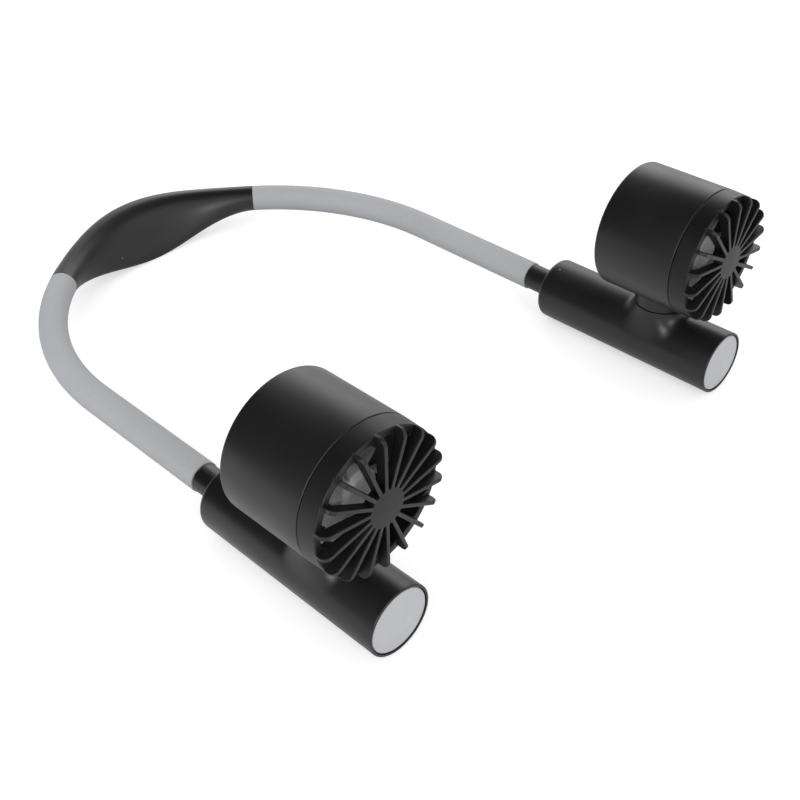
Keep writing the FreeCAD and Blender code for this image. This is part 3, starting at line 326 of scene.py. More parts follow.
def plastic(name, colour, rough, grain=2200.0, bump=0.12, specular=0.4, wear=(0.05, 0.05, 0.05), worn=0.5,
            dust=0.04, spread=0.05, tint=0.15):
    """Moulded plastic with grain, polished edges and a little dust."""
    if name in bpy.data.materials:
        return bpy.data.materials[name]
    material, tree, shader = new_material(name)
    grain_node = place_group(tree, moulded_grain_group(), {
        "Colour": rgba(colour), "Grain Scale": grain, "Roughness": rough,
        "Spread": spread, "Tint Spread": tint})
    edge = place_group(tree, edge_wear_group(), {})
    specks = place_group(tree, dust_group(), {"Share": dust})
    base = mix_colour(tree, times(tree, edge.outputs["Mask"], worn), grain_node.outputs["Colour"], rgba(wear))
    base = mix_colour(tree, specks.outputs["Mask"], base, rgba(DUST_COLOUR))
    tree.links.new(base, shader.inputs["Base Color"])
    tree.links.new(grain_node.outputs["Roughness"], shader.inputs["Roughness"])
    shader.inputs["Specular IOR Level"].default_value = specular
    bumped(tree, shader, grain_node.outputs["Height"], bump, GRAIN_DEPTH)
    return material


def metal(name, colour, rough):
    """Bare metal with fine drawn lines."""
    if name in bpy.data.materials:
        return bpy.data.materials[name]
    material, tree, shader = new_material(name)
    lines = place_group(tree, drawn_metal_group(), {"Colour": rgba(colour), "Roughness": rough})
    tree.links.new(lines.outputs["Colour"], shader.inputs["Base Color"])
    tree.links.new(lines.outputs["Roughness"], shader.inputs["Roughness"])
    shader.inputs["Metallic"].default_value = 1.0
    bumped(tree, shader, lines.outputs["Height"], strength=0.15, distance=LINE_DEPTH)
    return material


def satin_black():
    colours = bpy.context.scene.neck_fan_colours
    return plastic("satin_black_shell", colours.shell, 0.38, specular=0.45, wear=(0.018, 0.018, 0.019),
                   worn=0.3, dust=0.012)


# Painted shade: the grilles' black is set darker than the shell's black to stand in for the shadow deep
# between the fins.
def shaded_grille_black():
    colours = bpy.context.scene.neck_fan_colours
    return plastic("satin_black_grille", colours.grille, 0.42, grain=2600.0, specular=0.34,
                   wear=(0.034, 0.033, 0.033), worn=0.6, dust=0.012)


def silicone():
    colours = bpy.context.scene.neck_fan_colours
    return plastic("matt_silicone", colours.sleeve, 0.62, grain=3000.0, bump=0.16, specular=0.3,
                   wear=(0.5, 0.51, 0.53), worn=0.2, dust=0.03, spread=0.06, tint=0.03)


def painted_button():
    colours = bpy.context.scene.neck_fan_colours
    return plastic("pale_button_face", colours.button, 0.45, grain=4200.0, bump=0.1, specular=0.45,
                   wear=(0.62, 0.63, 0.65), worn=0.3, dust=0.02, spread=0.04, tint=0.025)


def smoky_plastic():
    colours = bpy.context.scene.neck_fan_colours
    return plastic("smoky_impeller", colours.impeller, 0.32, grain=1500.0, bump=0.05, specular=0.5,
                   wear=(0.36, 0.37, 0.38), worn=0.5, dust=0.05, spread=0.08, tint=0.08)


def mesh_object(name, mesh_data, material, sharp=35.0):
    """Object from a bmesh, smooth except at sharp edges."""
    bmesh.ops.recalc_face_normals(mesh_data, faces=mesh_data.faces)
    mesh = bpy.data.meshes.new(name)
    mesh_data.to_mesh(mesh)
    mesh_data.free()
    mesh.polygons.foreach_set("use_smooth", [True] * len(mesh.polygons))
    mesh.set_sharp_from_angle(angle=math.radians(sharp))
    mesh.materials.append(material)
    item = bpy.data.objects.new(name, mesh)
    bpy.context.scene.collection.objects.link(item)
    return item


def softened(item):
    """Shade flat faces flat and their rounded edges smooth."""
    weigh = item.modifiers.new("face_weights", "WEIGHTED_NORMAL")
    weigh.keep_sharp = True
    return item


def finish(node, material):
    """Give a carried-over solid its material."""
    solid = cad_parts[node]
    solid.data.materials.clear()
    solid.data.materials.append(material)


def rounded_corners(corners, steps=5):
    """Closed outline of (along, radius, rounding) corners, with arcs in place of the corners."""
    points = []
    count = len(corners)
    for i, (x, y, rounding) in enumerate(corners):
        here = Vector((x, y))
        if rounding <= 0:
            points.append(here)
            continue
        before = (Vector(corners[i - 1][:2]) - here).normalized()
        after = (Vector(corners[(i + 1) % count][:2]) - here).normalized()
        half = before.angle(after) / 2
        reach = rounding / math.tan(half)
        centre = here + (before + after).normalized() * (rounding / math.sin(half))
        start = here + before * reach - centre
        end = here + after * reach - centre
        turn = start.angle_signed(end)
        for step in range(steps + 1):
            angle = -turn * step / steps
            points.append(centre + Matrix.Rotation(angle, 2) @ start)
    return points


def add_turned(mesh_data, points, centre, segments, inset=None, shift=None):
    """Add a ring-shaped surface: a closed outline of (along, radius) turned about a line along Y.

    centre is a point, or a matrix that also turns the line. inset gives, for an angle from straight up,
    how far the outline's points named in shift move inwards.
    """
    place = centre if isinstance(centre, Matrix) else Matrix.Translation(centre)
    rings = []
    for step in range(segments):
        angle = 2 * math.pi * step / segments
        ring = []
        for i, (along, radius) in enumerate(points):
            if inset is not None and i in shift:
                radius -= inset(angle)
            ring.append(mesh_data.verts.new(
                place @ Vector((radius * math.sin(angle), along, radius * math.cos(angle)))))
        rings.append(ring)
    for step in range(segments):
        first, second = rings[step], rings[(step + 1) % segments]
        for i in range(len(points)):
            j = (i + 1) % len(points)
            mesh_data.faces.new((first[i], first[j], second[j], second[i]))


def add_disc(mesh_data, points, centre, segments):
    """Add a turned solid whose open outline starts and ends on the axis."""
    ends = [mesh_data.verts.new((centre.x, centre.y + points[k][0], centre.z)) for k in (0, -1)]
    rings = []
    for step in range(segments):
        angle = 2 * math.pi * step / segments
        rings.append([mesh_data.verts.new((
            centre.x + radius * math.sin(angle), centre.y + along, centre.z + radius * math.cos(angle)))
            for along, radius in points[1:-1]])
    for step in range(segments):
        first, second = rings[step], rings[(step + 1) % segments]
        for i in range(len(first) - 1):
            mesh_data.faces.new((first[i], first[i + 1], second[i + 1], second[i]))
        mesh_data.faces.new((ends[0], first[0], second[0]))
        mesh_data.faces.new((ends[1], second[-1], first[-1]))


def add_copies(mesh_data, source, centre, count, start=0.0):
    """Add a shape, built about the Y axis, in turned copies about a line along Y."""
    for step in range(count):
        turn = Matrix.Translation(centre) @ Matrix.Rotation(start + 2 * math.pi * step / count, 4, "Y")
        places = {vert: mesh_data.verts.new(turn @ vert.co) for vert in source.verts}
        for face in source.faces:
            mesh_data.faces.new([places[vert] for vert in face.verts])
    source.free()


def slab(outline, thick, edge):
    """Plate from an outline of (along, radius) in the plane through the Y axis, with rounded edges."""
    data = bmesh.new()
    face = data.faces.new([data.verts.new((-thick / 2, along, radius)) for along, radius in outline])
    made = bmesh.ops.extrude_face_region(data, geom=[face])
    moved = [item for item in made["geom"] if isinstance(item, bmesh.types.BMVert)]
    bmesh.ops.translate(data, verts=moved, vec=(thick, 0, 0))
    bmesh.ops.recalc_face_normals(data, faces=data.faces)
    rims = [item for item in data.edges if abs(item.verts[0].co.x - item.verts[1].co.x) < 1e-9]
    bmesh.ops.bevel(data, geom=rims, offset=edge, segments=3, profile=0.5, affect="EDGES", clamp_overlap=True)
    return data


def add_pedestal(data, big_radius, radius, top, blend, edge, seat, place):
    """Add a round pedestal on a cylinder that lies along Y, blended into it as a rolling ball would.

    The pedestal stands along Z. blend gives the ball's radius for an angle from the cylinder's line, edge
    is the rounding of the top, and seat lists (radius, height) points of the top from the middle outwards.
    A narrow skirt runs on from the blend just under the cylinder's skin, and the surface closes inside the
    cylinder's wall.
    """
    around = 144
    arc_steps, edge_steps, wall_steps, skirt_steps, under_steps = 14, 4, 4, 4, 4
    skirt_step, skirt_drop = 0.3 * MM, 0.012 * MM
    buried = big_radius - 0.8 * MM
    rows = []
    for step in range(around):
        angle = 2 * math.pi * step / around
        way = Vector((math.sin(angle), math.cos(angle), 0))
        ball = blend(angle)
        middle = way * (radius + ball)
        middle.z = math.sqrt((big_radius + ball) ** 2 - middle.x ** 2)
        down = Vector((-middle.x, 0, -middle.z)) / (big_radius + ball)
        sweep = (-way).angle(down)
        above = max(0.0, middle.z - top + edge) / ball
        start = math.asin(min(1.0, above * math.sin(sweep) / -down.z)) / sweep
        arc = [middle + (-way).slerp(down, start + (1 - start) * k / arc_steps) * ball
               for k in range(arc_steps + 1)]
        rim = arc[0].xy.length
        points = [way * away + Vector((0, 0, height)) for away, height in seat]
        for k in range(edge_steps + 1):
            turn = math.pi / 2 * k / edge_steps
            height = top - edge * (1 - math.cos(turn))
            points.append(way * (rim - edge * (1 - math.sin(turn))) + Vector((0, 0, height)))
        points += [points[-1].lerp(arc[0], k / wall_steps) for k in range(1, wall_steps)]
        points += arc
        turn = math.atan2(arc[-1].x, arc[-1].z)
        for k in range(1, skirt_steps + 1):
            run = skirt_step * k
            sunk = big_radius - skirt_drop * k
            here = turn + run * way.x / big_radius
            points.append(Vector((sunk * math.sin(here), arc[-1].y + run * way.y, sunk * math.cos(here))))
        foot = way * seat[0][0]
        foot_turn = math.asin(foot.x / buried)
        skirt_end = points[-1].y
        for k in range(under_steps + 1):
            share = k / under_steps
            turn = here + (foot_turn - here) * share
            y = skirt_end + (foot.y - skirt_end) * share
            points.append(Vector((buried * math.sin(turn), y, buried * math.cos(turn))))
        rows.append([data.verts.new(place @ point) for point in points])
    for step in range(around):
        first, second = rows[step], rows[(step + 1) % around]
        for i in range(len(first)):
            j = (i + 1) % len(first)
            data.faces.new((first[i], first[j], second[j], second[i]))
    bmesh.ops.remove_doubles(data, verts=[vert for row in rows for vert in row], dist=0.001 * MM)


def cut_away(data, cutter):
    """Return a bmesh with a second closed one cut out of it."""
    items = []
    for name, source in (("cut_body", data), ("cut_tool", cutter)):
        bmesh.ops.recalc_face_normals(source, faces=source.faces)
        mesh = bpy.data.meshes.new(name)
        source.to_mesh(mesh)
        source.free()
        items.append(bpy.data.objects.new(name, mesh))
        bpy.context.scene.collection.objects.link(items[-1])
    change = items[0].modifiers.new("cut", "BOOLEAN")
    change.operation = "DIFFERENCE"
    change.solver = "EXACT"
    change.object = items[1]
    result = bmesh.new()
    result.from_object(items[0], bpy.context.evaluated_depsgraph_get())
    for item in items:
        mesh = item.data
        bpy.data.objects.remove(item)
        bpy.data.meshes.remove(mesh)
    return result


def rounded_box(low, high, edge):
    """Box whose edges along X are rounded."""
    data = bmesh.new()
    bmesh.ops.create_cube(data, size=1.0)
    size = Vector(high) - Vector(low)
    middle = (Vector(high) + Vector(low)) / 2
    for vert in data.verts:
        vert.co = Vector((vert.co.x * size.x, vert.co.y * size.y, vert.co.z * size.z)) + middle
    long_edges = [item for item in data.edges if abs(item.verts[0].co.x - item.verts[1].co.x) > 1e-6]
    bmesh.ops.bevel(data, geom=long_edges, offset=edge, segments=5, profile=0.5, affect="EDGES")
    return data


def upright_rod(x, y, low, high, radius):
    data = bmesh.new()
    bmesh.ops.create_cone(data, cap_ends=True, segments=48, radius1=radius, radius2=radius, depth=high - low,
                          matrix=Matrix.Translation((x, y, (low + high) / 2)))
    return data


class NECKFAN_OT_barrels(bpy.types.Operator):
    """Build the barrels with their saddles, and finish the collars behind them"""
    bl_idname = "neckfan.barrels"
    bl_label = "Barrels"

    def execute(self, context):
        sizes = context.scene.neck_fan_sizes
        for side, way in SIDES:
            item = barrel(f"{side}_barrel_shell_fine", Fan(side), sizes, way)
            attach(item, f"{side}_barrel")
            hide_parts(f"{side}_barrel_shell")
            finish(f"{side}_arm_collar", satin_black())
        return {"FINISHED"}


def barrel(name, fan, sizes, way):
    """Turned barrel with the pivot's hole, the saddle round it and, on the right, the charge port's slot."""
    radius = fan.barrel_radius
    length = fan.barrel_rear - fan.barrel_front
    wall, mouth_wall, end_wall = 1.6 * MM, 0.95 * MM, 2.2 * MM
    inner = radius - wall
    mouth = radius - mouth_wall
    mouth_depth = 5.0 * MM
    tenon_hole = 4.85 * MM
    bottom = length - end_wall
    rear_round = 2.2 * MM
    data = bmesh.new()
    add_turned(data, rounded_corners([
        (0, radius, 0.4 * MM), (length, radius, rear_round), (length, tenon_hole, 0), (bottom, tenon_hole, 0),
        (bottom, inner, 0.4 * MM), (mouth_depth, inner, 0), (mouth_depth, mouth, 0),
        (0, mouth, 0.15 * MM)], steps=8), Vector((fan.x, fan.barrel_front, fan.barrel_z)), segments=176)
    bore = 4.05 * MM
    data = cut_away(data, upright_rod(fan.x, fan.pivot_y, fan.barrel_z, fan.barrel_z + 2 * radius, bore))
    if way < 0:
        low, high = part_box("right_charge_port")
        room, port_corner = 0.2 * MM, 1.1 * MM
        data = cut_away(data, rounded_box(
            (fan.x + 0.5 * radius, low[1] - room, low[2] - room),
            (fan.x + 1.5 * radius, high[1] + room, high[2] + room), port_corner))
    top = fan.saddle_top - fan.barrel_z
    floor = fan.washer_bottom - fan.barrel_z
    washer_room, saddle_margin, edge = 0.2 * MM, 2.2 * MM, 0.2 * MM
    rim = fan.washer_radius + washer_room
    saddle = radius - saddle_margin

    def blend(angle):
        """Radius of the ball that lies on the barrel and touches the saddle just below its rim."""
        across = math.sin(angle) ** 2
        reach = radius - across * saddle
        room = (top - edge) ** 2 - radius ** 2 + across * saddle ** 2
        return sizes.saddle_flare * room / (reach + math.sqrt(reach ** 2 + (1 - across) * room))

    add_pedestal(data, radius, saddle, top, blend, edge, [(bore, floor), (rim, floor), (rim, top)],
                 Matrix.Translation((fan.x, fan.pivot_y, fan.barrel_z)))
    return mesh_object(name, data, satin_black())


class NECKFAN_OT_drums(bpy.types.Operator):
    """Build the fan drums with their pivot bosses"""
    bl_idname = "neckfan.drums"
    bl_label = "Fan drums"

    def execute(self, context):
        for side, _ in SIDES:
            item = drum(f"{side}_fan_drum_fine", Fan(side))
            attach(item, f"{side}_head")
            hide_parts(f"{side}_fan_drum")
        return {"FINISHED"}


def drum(name, fan):
    """Drum with a lip at its rear, and below it the pivot boss and its grooved, hollow stub."""
    radius = fan.radius
    length = fan.drum_rear - fan.drum_front
    wall, lip_width, lip_thick = 1.6 * MM, 1.3 * MM, 1.3 * MM
    inner = radius - wall
    lip = inner - lip_width
    shelf = length - lip_thick
    data = bmesh.new()
    add_turned(data, rounded_corners([
        (0, radius, 0.35 * MM), (length, radius, 1.2 * MM), (length, lip, 0.3 * MM), (shelf, lip, 0),
        (shelf, inner, 0), (0, inner, 0.1 * MM)], steps=8),
        Vector((fan.x, fan.drum_front, fan.z)), segments=216)
    bore = 1.7 * MM
    data = cut_away(data, upright_rod(fan.x, fan.pivot_y, fan.z - 2 * radius, fan.z, bore))
    swivel_gap = 0.3 * MM
    bottom = fan.z - fan.saddle_top - swivel_gap
    stub = 4.0 * MM
    boss, boss_blend, boss_edge = 10.6 * MM, 1.2 * MM, 0.2 * MM
    pivot = Matrix.Translation((fan.x, fan.pivot_y, fan.z))
    add_pedestal(data, radius, boss, bottom, lambda angle: boss_blend, boss_edge, [(stub, bottom)],
                 pivot @ Matrix.Rotation(math.pi, 4, "Y"))
    stub_root, groove_lip, groove_width, groove_depth = 3.0 * MM, 0.7 * MM, 0.8 * MM, 0.4 * MM
    start = bottom - stub_root
    end = fan.z - fan.stub_end
    groove_end = end - groove_lip
    groove_start = groove_end - groove_width
    groove = stub - groove_depth
    add_turned(data, [(start, stub), (groove_start, stub), (groove_start, groove), (groove_end, groove),
                      (groove_end, stub), (end, stub), (end, bore), (start, bore)],
               pivot @ Matrix.Rotation(-math.pi / 2, 4, "X"), segments=64)
    return mesh_object(name, data, satin_black())


class NECKFAN_OT_front_grilles(bpy.types.Operator):
    """Build the finned front grilles: bezel, fins and hub disc"""
    bl_idname = "neckfan.front_grilles"
    bl_label = "Front grilles"

    def execute(self, context):
        sizes = context.scene.neck_fan_sizes
        for side, _ in SIDES:
            item = front_grille(f"{side}_front_grille_fine", Fan(side), sizes)
            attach(item, f"{side}_head")
            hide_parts(f"{side}_front_grille")
        return {"FINISHED"}


def front_grille(name, fan, sizes):
    """Bezel, hub disc and the fins across them, blended into the bezel at each window's corners."""
    bezel = 3.8 * MM
    seam_gap = 0.25 * MM
    seam = fan.drum_front - fan.front - seam_gap
    rear = fan.spigot_rear - fan.front
    rim = fan.radius - 0.3 * MM
    inner = fan.radius - 2.8 * MM
    spigot = fan.radius - 1.75 * MM
    data = bmesh.new()
    outline = rounded_corners([
        (bezel, inner, 0.5 * MM), (bezel, rim, 0.5 * MM), (seam, fan.radius, 0.3 * MM), (seam, spigot, 0),
        (rear, spigot, 0.15 * MM), (rear, inner, 0.2 * MM)])
    pitch = 2 * math.pi / sizes.fin_count
    corner = sizes.window_corner

    def blend_in(angle):
        away = abs((angle + pitch / 2) % pitch - pitch / 2) * inner - sizes.fin_thick / 2
        if away >= corner:
            return 0.0
        return corner - math.sqrt(corner ** 2 - (corner - max(away, 0.0)) ** 2)

    blend_depth = bezel + 1.0 * MM
    inside = {i for i, point in enumerate(outline) if point[1] < spigot and point[0] < blend_depth}
    steps_per_fin = 24
    add_turned(data, outline, fan.centre, sizes.fin_count * steps_per_fin, blend_in, inside)
    hub = sizes.hub_radius
    hub_rear = bezel + 0.2 * MM
    add_disc(data, [
        (0, 0), (0, hub - 0.25 * MM), (0.08 * MM, hub - 0.08 * MM), (0.25 * MM, hub), (bezel, hub),
        (hub_rear, hub - 0.2 * MM), (hub_rear, 0)], fan.centre, segments=96)
    tip = fan.radius - 0.05 * MM
    root = hub - 0.5 * MM
    lift = 0.02 * MM
    foot = bezel + 0.9 * MM
    fin = rounded_corners([
        (lift, root, 0), (lift, tip, sizes.fin_corner), (foot, tip - 0.2 * MM, 0),
        (foot, inner + 0.3 * MM, 0), (bezel, inner - 1.2 * MM, 0.8 * MM),
        (bezel - 0.5 * MM, root, 0)], steps=8)
    add_copies(data, slab(fin, sizes.fin_thick, sizes.fin_edge), fan.centre, sizes.fin_count)
    return softened(mesh_object(name, data, shaded_grille_black()))


class NECKFAN_OT_rear_grilles(bpy.types.Operator):
    """Build the spoked intake grilles with their motor cups"""
    bl_idname = "neckfan.rear_grilles"
    bl_label = "Rear grilles"

    def execute(self, context):
        sizes = context.scene.neck_fan_sizes
        for side, _ in SIDES:
            item = rear_grille(f"{side}_rear_grille_fine", Fan(side), sizes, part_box(f"{side}_rear_grille"))
            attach(item, f"{side}_head")
            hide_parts(f"{side}_rear_grille")
        return {"FINISHED"}


def rear_grille(name, fan, sizes, box):
    """Outer band, motor cup and the spokes between them, half a step round from the front fins."""
    low, high = box
    rim = (high[0] - low[0]) / 2
    rear = high[1] - fan.front
    thick, flange, band_width = 1.8 * MM, 1.3 * MM, 2.2 * MM
    front = rear - thick
    cup_front = low[1] - fan.front
    cup_inner, cup_outer = 6.05 * MM, 7.35 * MM
    disc = cup_outer + flange
    core = 0.6 * MM
    band = rim - band_width
    soft = 0.3 * MM
    data = bmesh.new()
    add_turned(data, rounded_corners([
        (front, band, soft), (rear, band, soft), (rear, rim, soft), (front, rim, soft)]),
        fan.centre, segments=144)
    add_turned(data, rounded_corners([
        (cup_front, cup_inner, 0.2 * MM), (cup_front, cup_outer, 0.2 * MM), (front, cup_outer, 0),
        (front, disc, soft), (rear, disc, soft), (rear, core, 0), (front, core, 0),
        (front, cup_inner, 0)]), fan.centre, segments=96)
    plug = core + 0.1 * MM
    add_disc(data, [(rear, 0), (rear, plug), (front, plug), (front, 0)], fan.centre, segments=24)
    spoke_front, spoke_rear = front + 0.1 * MM, rear - 0.05 * MM
    spoke_root, spoke_tip = disc - 0.4 * MM, band + 0.4 * MM
    spoke = rounded_corners([
        (spoke_front, spoke_root, 0), (spoke_rear, spoke_root, 0), (spoke_rear, spoke_tip, 0),
        (spoke_front, spoke_tip, 0)])
    spoke_thick, spoke_edge = 1.3 * MM, 0.35 * MM
    add_copies(data, slab(spoke, spoke_thick, spoke_edge), fan.centre, sizes.fin_count,
               math.pi / sizes.fin_count)
    return softened(mesh_object(name, data, shaded_grille_black()))


class NECKFAN_OT_impellers(bpy.types.Operator):
    """Build the impellers with their twisted, cambered blades"""
    bl_idname = "neckfan.impellers"
    bl_label = "Impellers"

    def execute(self, context):
        sizes = context.scene.neck_fan_sizes
        for side, _ in SIDES:
            item = impeller(f"{side}_impeller_fine", Fan(side), sizes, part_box(f"{side}_impeller"))
            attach(item, f"{side}_rotor")
            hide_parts(f"{side}_impeller")
        return {"FINISHED"}


def impeller(name, fan, sizes, box):
    """Hollow hub with a boss for the motor shaft, and the blades round it."""
    nose = box[0][1] - fan.front
    tail = box[1][1] - fan.front
    hub = 7.0 * MM
    wall = 1.4 * MM
    chamfer = 1.8 * MM
    floor_thick = 3.4 * MM
    hollow = nose + floor_thick
    boss, bore = 2.6 * MM, 1.02 * MM
    data = bmesh.new()
    add_turned(data, rounded_corners([
        (nose, bore, 0), (nose, hub - chamfer, 1.2 * MM), (nose + chamfer, hub, 1.2 * MM),
        (tail, hub, 0.3 * MM), (tail, hub - wall, 0.2 * MM), (hollow, hub - wall, 0.4 * MM),
        (hollow, boss, 0.4 * MM), (tail, boss, 0.2 * MM), (tail, bore, 0)]), fan.centre, segments=96)
    cap, cap_rear = 1.1 * MM, nose + 1.3 * MM
    add_disc(data, [(nose, 0), (nose, cap), (cap_rear, cap), (cap_rear, 0)], fan.centre, segments=24)
    blade_front, tip_room = nose + 1.0 * MM, 3.5 * MM
    add_copies(data, blade(blade_front, hub, fan.radius - tip_room, sizes), fan.centre, sizes.blade_count)
    return mesh_object(name, data, smoky_plastic(), sharp=40.0)


def blade(lead, hub, reach, sizes):
    """One blade upwards along the radius: a lens-edged strip that turns and widens outwards."""
    root_chord, tip_chord = 13.0 * MM, 17.0 * MM
    root_pitch, tip_pitch = math.radians(52.0), math.radians(36.0)
    camber = 1.3 * MM
    sunk_root = 1.2 * MM
    middle = lead + root_chord * math.sin(root_pitch) / 2
    half_width = tip_chord / 2 * math.cos(tip_pitch) + sizes.blade_thick / 2 * math.sin(tip_pitch)
    top = math.sqrt(reach ** 2 - half_width ** 2)
    bottom = hub - sunk_root
    data = bmesh.new()
    stations, across = 14, 18
    rows = []
    for i in range(stations):
        share = i / (stations - 1)
        height = bottom + (top - bottom) * share
        chord = root_chord + (tip_chord - root_chord) * share
        pitch = root_pitch + (tip_pitch - root_pitch) * share
        row = []
        for k in range(2 * across):
            face = 1 if k < across else -1
            place = 2 * (k if k < across else 2 * across - k) / across - 1
            thick = sizes.blade_thick / 2 * math.sqrt(max(0.0, 1 - place ** 8))
            along = place * chord / 2
            lift = camber * (1 - place * place) + face * thick
            x = along * math.cos(pitch) - lift * math.sin(pitch)
            y = middle + along * math.sin(pitch) + lift * math.cos(pitch)
            row.append(data.verts.new((x, y, height)))
        rows.append(row)
    for low, high in zip(rows, rows[1:]):
        for k in range(len(low)):
            j = (k + 1) % len(low)
            data.faces.new((low[k], low[j], high[j], high[k]))
    for row in (rows[0], rows[-1]):
        for k in range(1, across):
            if k == 1:
                data.faces.new((row[0], row[1], row[-1]))
            else:
                data.faces.new((row[k - 1], row[k], row[-k], row[-k + 1]))
        data.faces.new((row[across - 1], row[across], row[across + 1]))
    return data


class NECKFAN_OT_arms(bpy.types.Operator):
    """Build the bending arms: sleeve, gooseneck core and lead"""
    bl_idname = "neckfan.arms"
    bl_label = "Arms"

    def execute(self, context):
        sizes = context.scene.neck_fan_sizes
        for side, way in SIDES:
            arm = Arm(side, way)
            sleeve = arm_sleeve(f"{side}_arm_sleeve_fine", arm)
            core = arm_core(f"{side}_gooseneck_core_fine", arm, sizes.coil_pitch)
            lead = arm_lead(f"{side}_arm_lead_fine", arm)
            for item, node, finish_slot in (
                    (sleeve, "arm_sleeve", "pale_silicone"), (core, "gooseneck_core", "steel"),
                    (lead, "arm_lead", "lead_sheath")):
                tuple(arm.flex_start)
                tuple(arm.flex_end)
                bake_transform(item)
                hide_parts(f"{side}_{node}")
        return {"FINISHED"}


class Arm:
    """Centre line of one arm, from its barrel back to the middle of the pod."""
    straight = 163.0 * MM
    bend_radius = 108.7 * MM
    turn = math.radians(49.0)
    flex_behind, flex_ahead = 80.0 * MM, 58.0 * MM

    def __init__(self, side, way):
        fan = Fan(side)
        self.side = side
        self.way = way
        self.x = fan.x
        self.z = fan.barrel_z
        self.bend_start = fan.barrel_front + self.straight
        half = abs(fan.x)
        self.pod_radius = (half - self.bend_radius * (1 - math.cos(self.turn))) / math.cos(self.turn)
        self.pod_y = (self.bend_start + self.bend_radius * math.sin(self.turn)
                      - self.pod_radius * math.sin(self.turn))
        self.flex_start = self.at(self.bend_start + self.flex_behind)[0]
        self.flex_end = self.at(self.bend_start - self.flex_ahead)[0]

    def at(self, run):
        """Point and direction at a run: Y on the straight part, then the length round the bends."""
        past = run - self.bend_start
        if past <= 0:
            return Vector((self.x, run, self.z)), Vector((0, 1, 0))
        angle = past / self.bend_radius
        if angle <= self.turn:
            inward = self.bend_radius * (1 - math.cos(angle))
            y = self.bend_start + self.bend_radius * math.sin(angle)
            x = self.x - self.way * inward
        else:
            angle = self.turn + (past - self.bend_radius * self.turn) / self.pod_radius
            x = self.way * self.pod_radius * math.cos(angle)
            y = self.pod_y + self.pod_radius * math.sin(angle)
        return Vector((x, y, self.z)), Vector((-self.way * math.sin(angle), math.cos(angle), 0))

    @property
    def pod_run(self):
        return self.bend_start + self.bend_radius * self.turn


def add_tube(data, arm, profile, around):
    """Sweep rings of (run, radius) along an arm; radius may depend on the angle round the tube."""
    rings = []
    for run, radius in profile:
        point, ahead = arm.at(run)
        outward = Vector((ahead.y, -ahead.x, 0)) * arm.way
        ring = []
        for k in range(around):
            angle = 2 * math.pi * k / around
            reach = radius(angle) if callable(radius) else radius
            lift = Vector((0, 0, reach * math.sin(angle)))
            ring.append(data.verts.new(point + outward * (reach * math.cos(angle)) + lift))
        rings.append(ring)
    for first, second in zip(rings, rings[1:]):
        for k in range(around):
            j = (k + 1) % around
            data.faces.new((first[k], first[j], second[j], second[k]))
    return rings


def arm_sleeve(name, arm):
    """Sleeve with rounded edges, hollow at both ends."""
    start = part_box(f"{arm.side}_arm_sleeve")[0][1]
    end = arm.pod_run
    outer, inner = 6.0 * MM, 4.4 * MM
    edge = 0.35 * MM
    lining = 7.0 * MM
    flat_place, flat_width, flat_depth = math.radians(118.0), 0.1, 0.05 * MM

    def skin(angle):
        """Round, with the faint flat that the extruder leaves along its upper inner side."""
        away = abs((angle - flat_place + math.pi) % (2 * math.pi) - math.pi)
        return outer - flat_depth * math.exp(-(away / flat_width) ** 2)

    arc = [(edge * (1 - math.cos(turn)), outer - edge * (1 - math.sin(turn)))
           for turn in (math.pi / 8 * k for k in range(5))]
    profile = [(start + lining, inner), (start, inner)]
    profile += [(start + back, reach) for back, reach in arc]
    steps = 90
    profile += [(start + edge + (end - start - 2 * edge) * k / steps, skin) for k in range(1, steps)]
    profile += [(end - back, reach) for back, reach in reversed(arc)]
    profile += [(end, inner), (end - lining, inner)]
    data = bmesh.new()
    rings = add_tube(data, arm, profile, around=72)
    for ring in (rings[0], rings[-1]):
        data.faces.new(ring)
    return mesh_object(name, data, silicone(), sharp=40.0)


def arm_core(name, arm, pitch):
    """Gooseneck: a tube wound from round wire, seen as ridges."""
    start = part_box(f"{arm.side}_gooseneck_core")[0][1]
    into_pod = 14.0 * MM
    end = arm.pod_run + into_pod
    outer = 3.4 * MM
    per_turn = 6
    steps = int((end - start) / pitch * per_turn)
    depth = 0.35 * MM

    def ridge(run):
        return lambda angle: outer - depth + depth * abs(math.sin(math.pi * (run / pitch) + angle / 2))

    bore = 1.9 * MM
    bore_steps = 100
    runs = [start + (end - start) * k / steps for k in range(steps + 1)]
    profile = [(run, ridge(run)) for run in runs]
    profile += [(end - (end - start) * k / bore_steps, bore) for k in range(bore_steps + 1)]
    around = 40
    data = bmesh.new()
    rings = add_tube(data, arm, profile, around)
    for k in range(around):
        j = (k + 1) % around
        data.faces.new((rings[-1][k], rings[-1][j], rings[0][j], rings[0][k]))
    return mesh_object(name, data, metal("wound_steel", (0.52, 0.52, 0.53), 0.36), sharp=60.0)


def arm_lead(name, arm):
    """Lead inside the arm, from the barrel to the joint in the pod's middle."""
    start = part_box(f"{arm.side}_arm_lead")[0][1]
    short_of_middle = 0.1 * MM
    end = arm.pod_run + arm.pod_radius * (math.pi / 2 - arm.turn) - short_of_middle
    radius = 1.5 * MM
    taper, taper_run = 0.3 * MM, 0.2 * MM
    steps = 130
    profile = [(start, radius - taper)]
    profile += [(start + taper_run + (end - start - taper_run) * k / steps, radius) for k in range(steps + 1)]
    data = bmesh.new()
    rings = add_tube(data, arm, profile, around=24)
    for ring in (rings[0], rings[-1]):
        data.faces.new(ring)
    return mesh_object(name, data, lead_sheath(), sharp=60.0)


def lead_sheath():
    return plastic("soft_lead_sheath", (0.02, 0.02, 0.021), 0.6, grain=3500.0, specular=0.3)


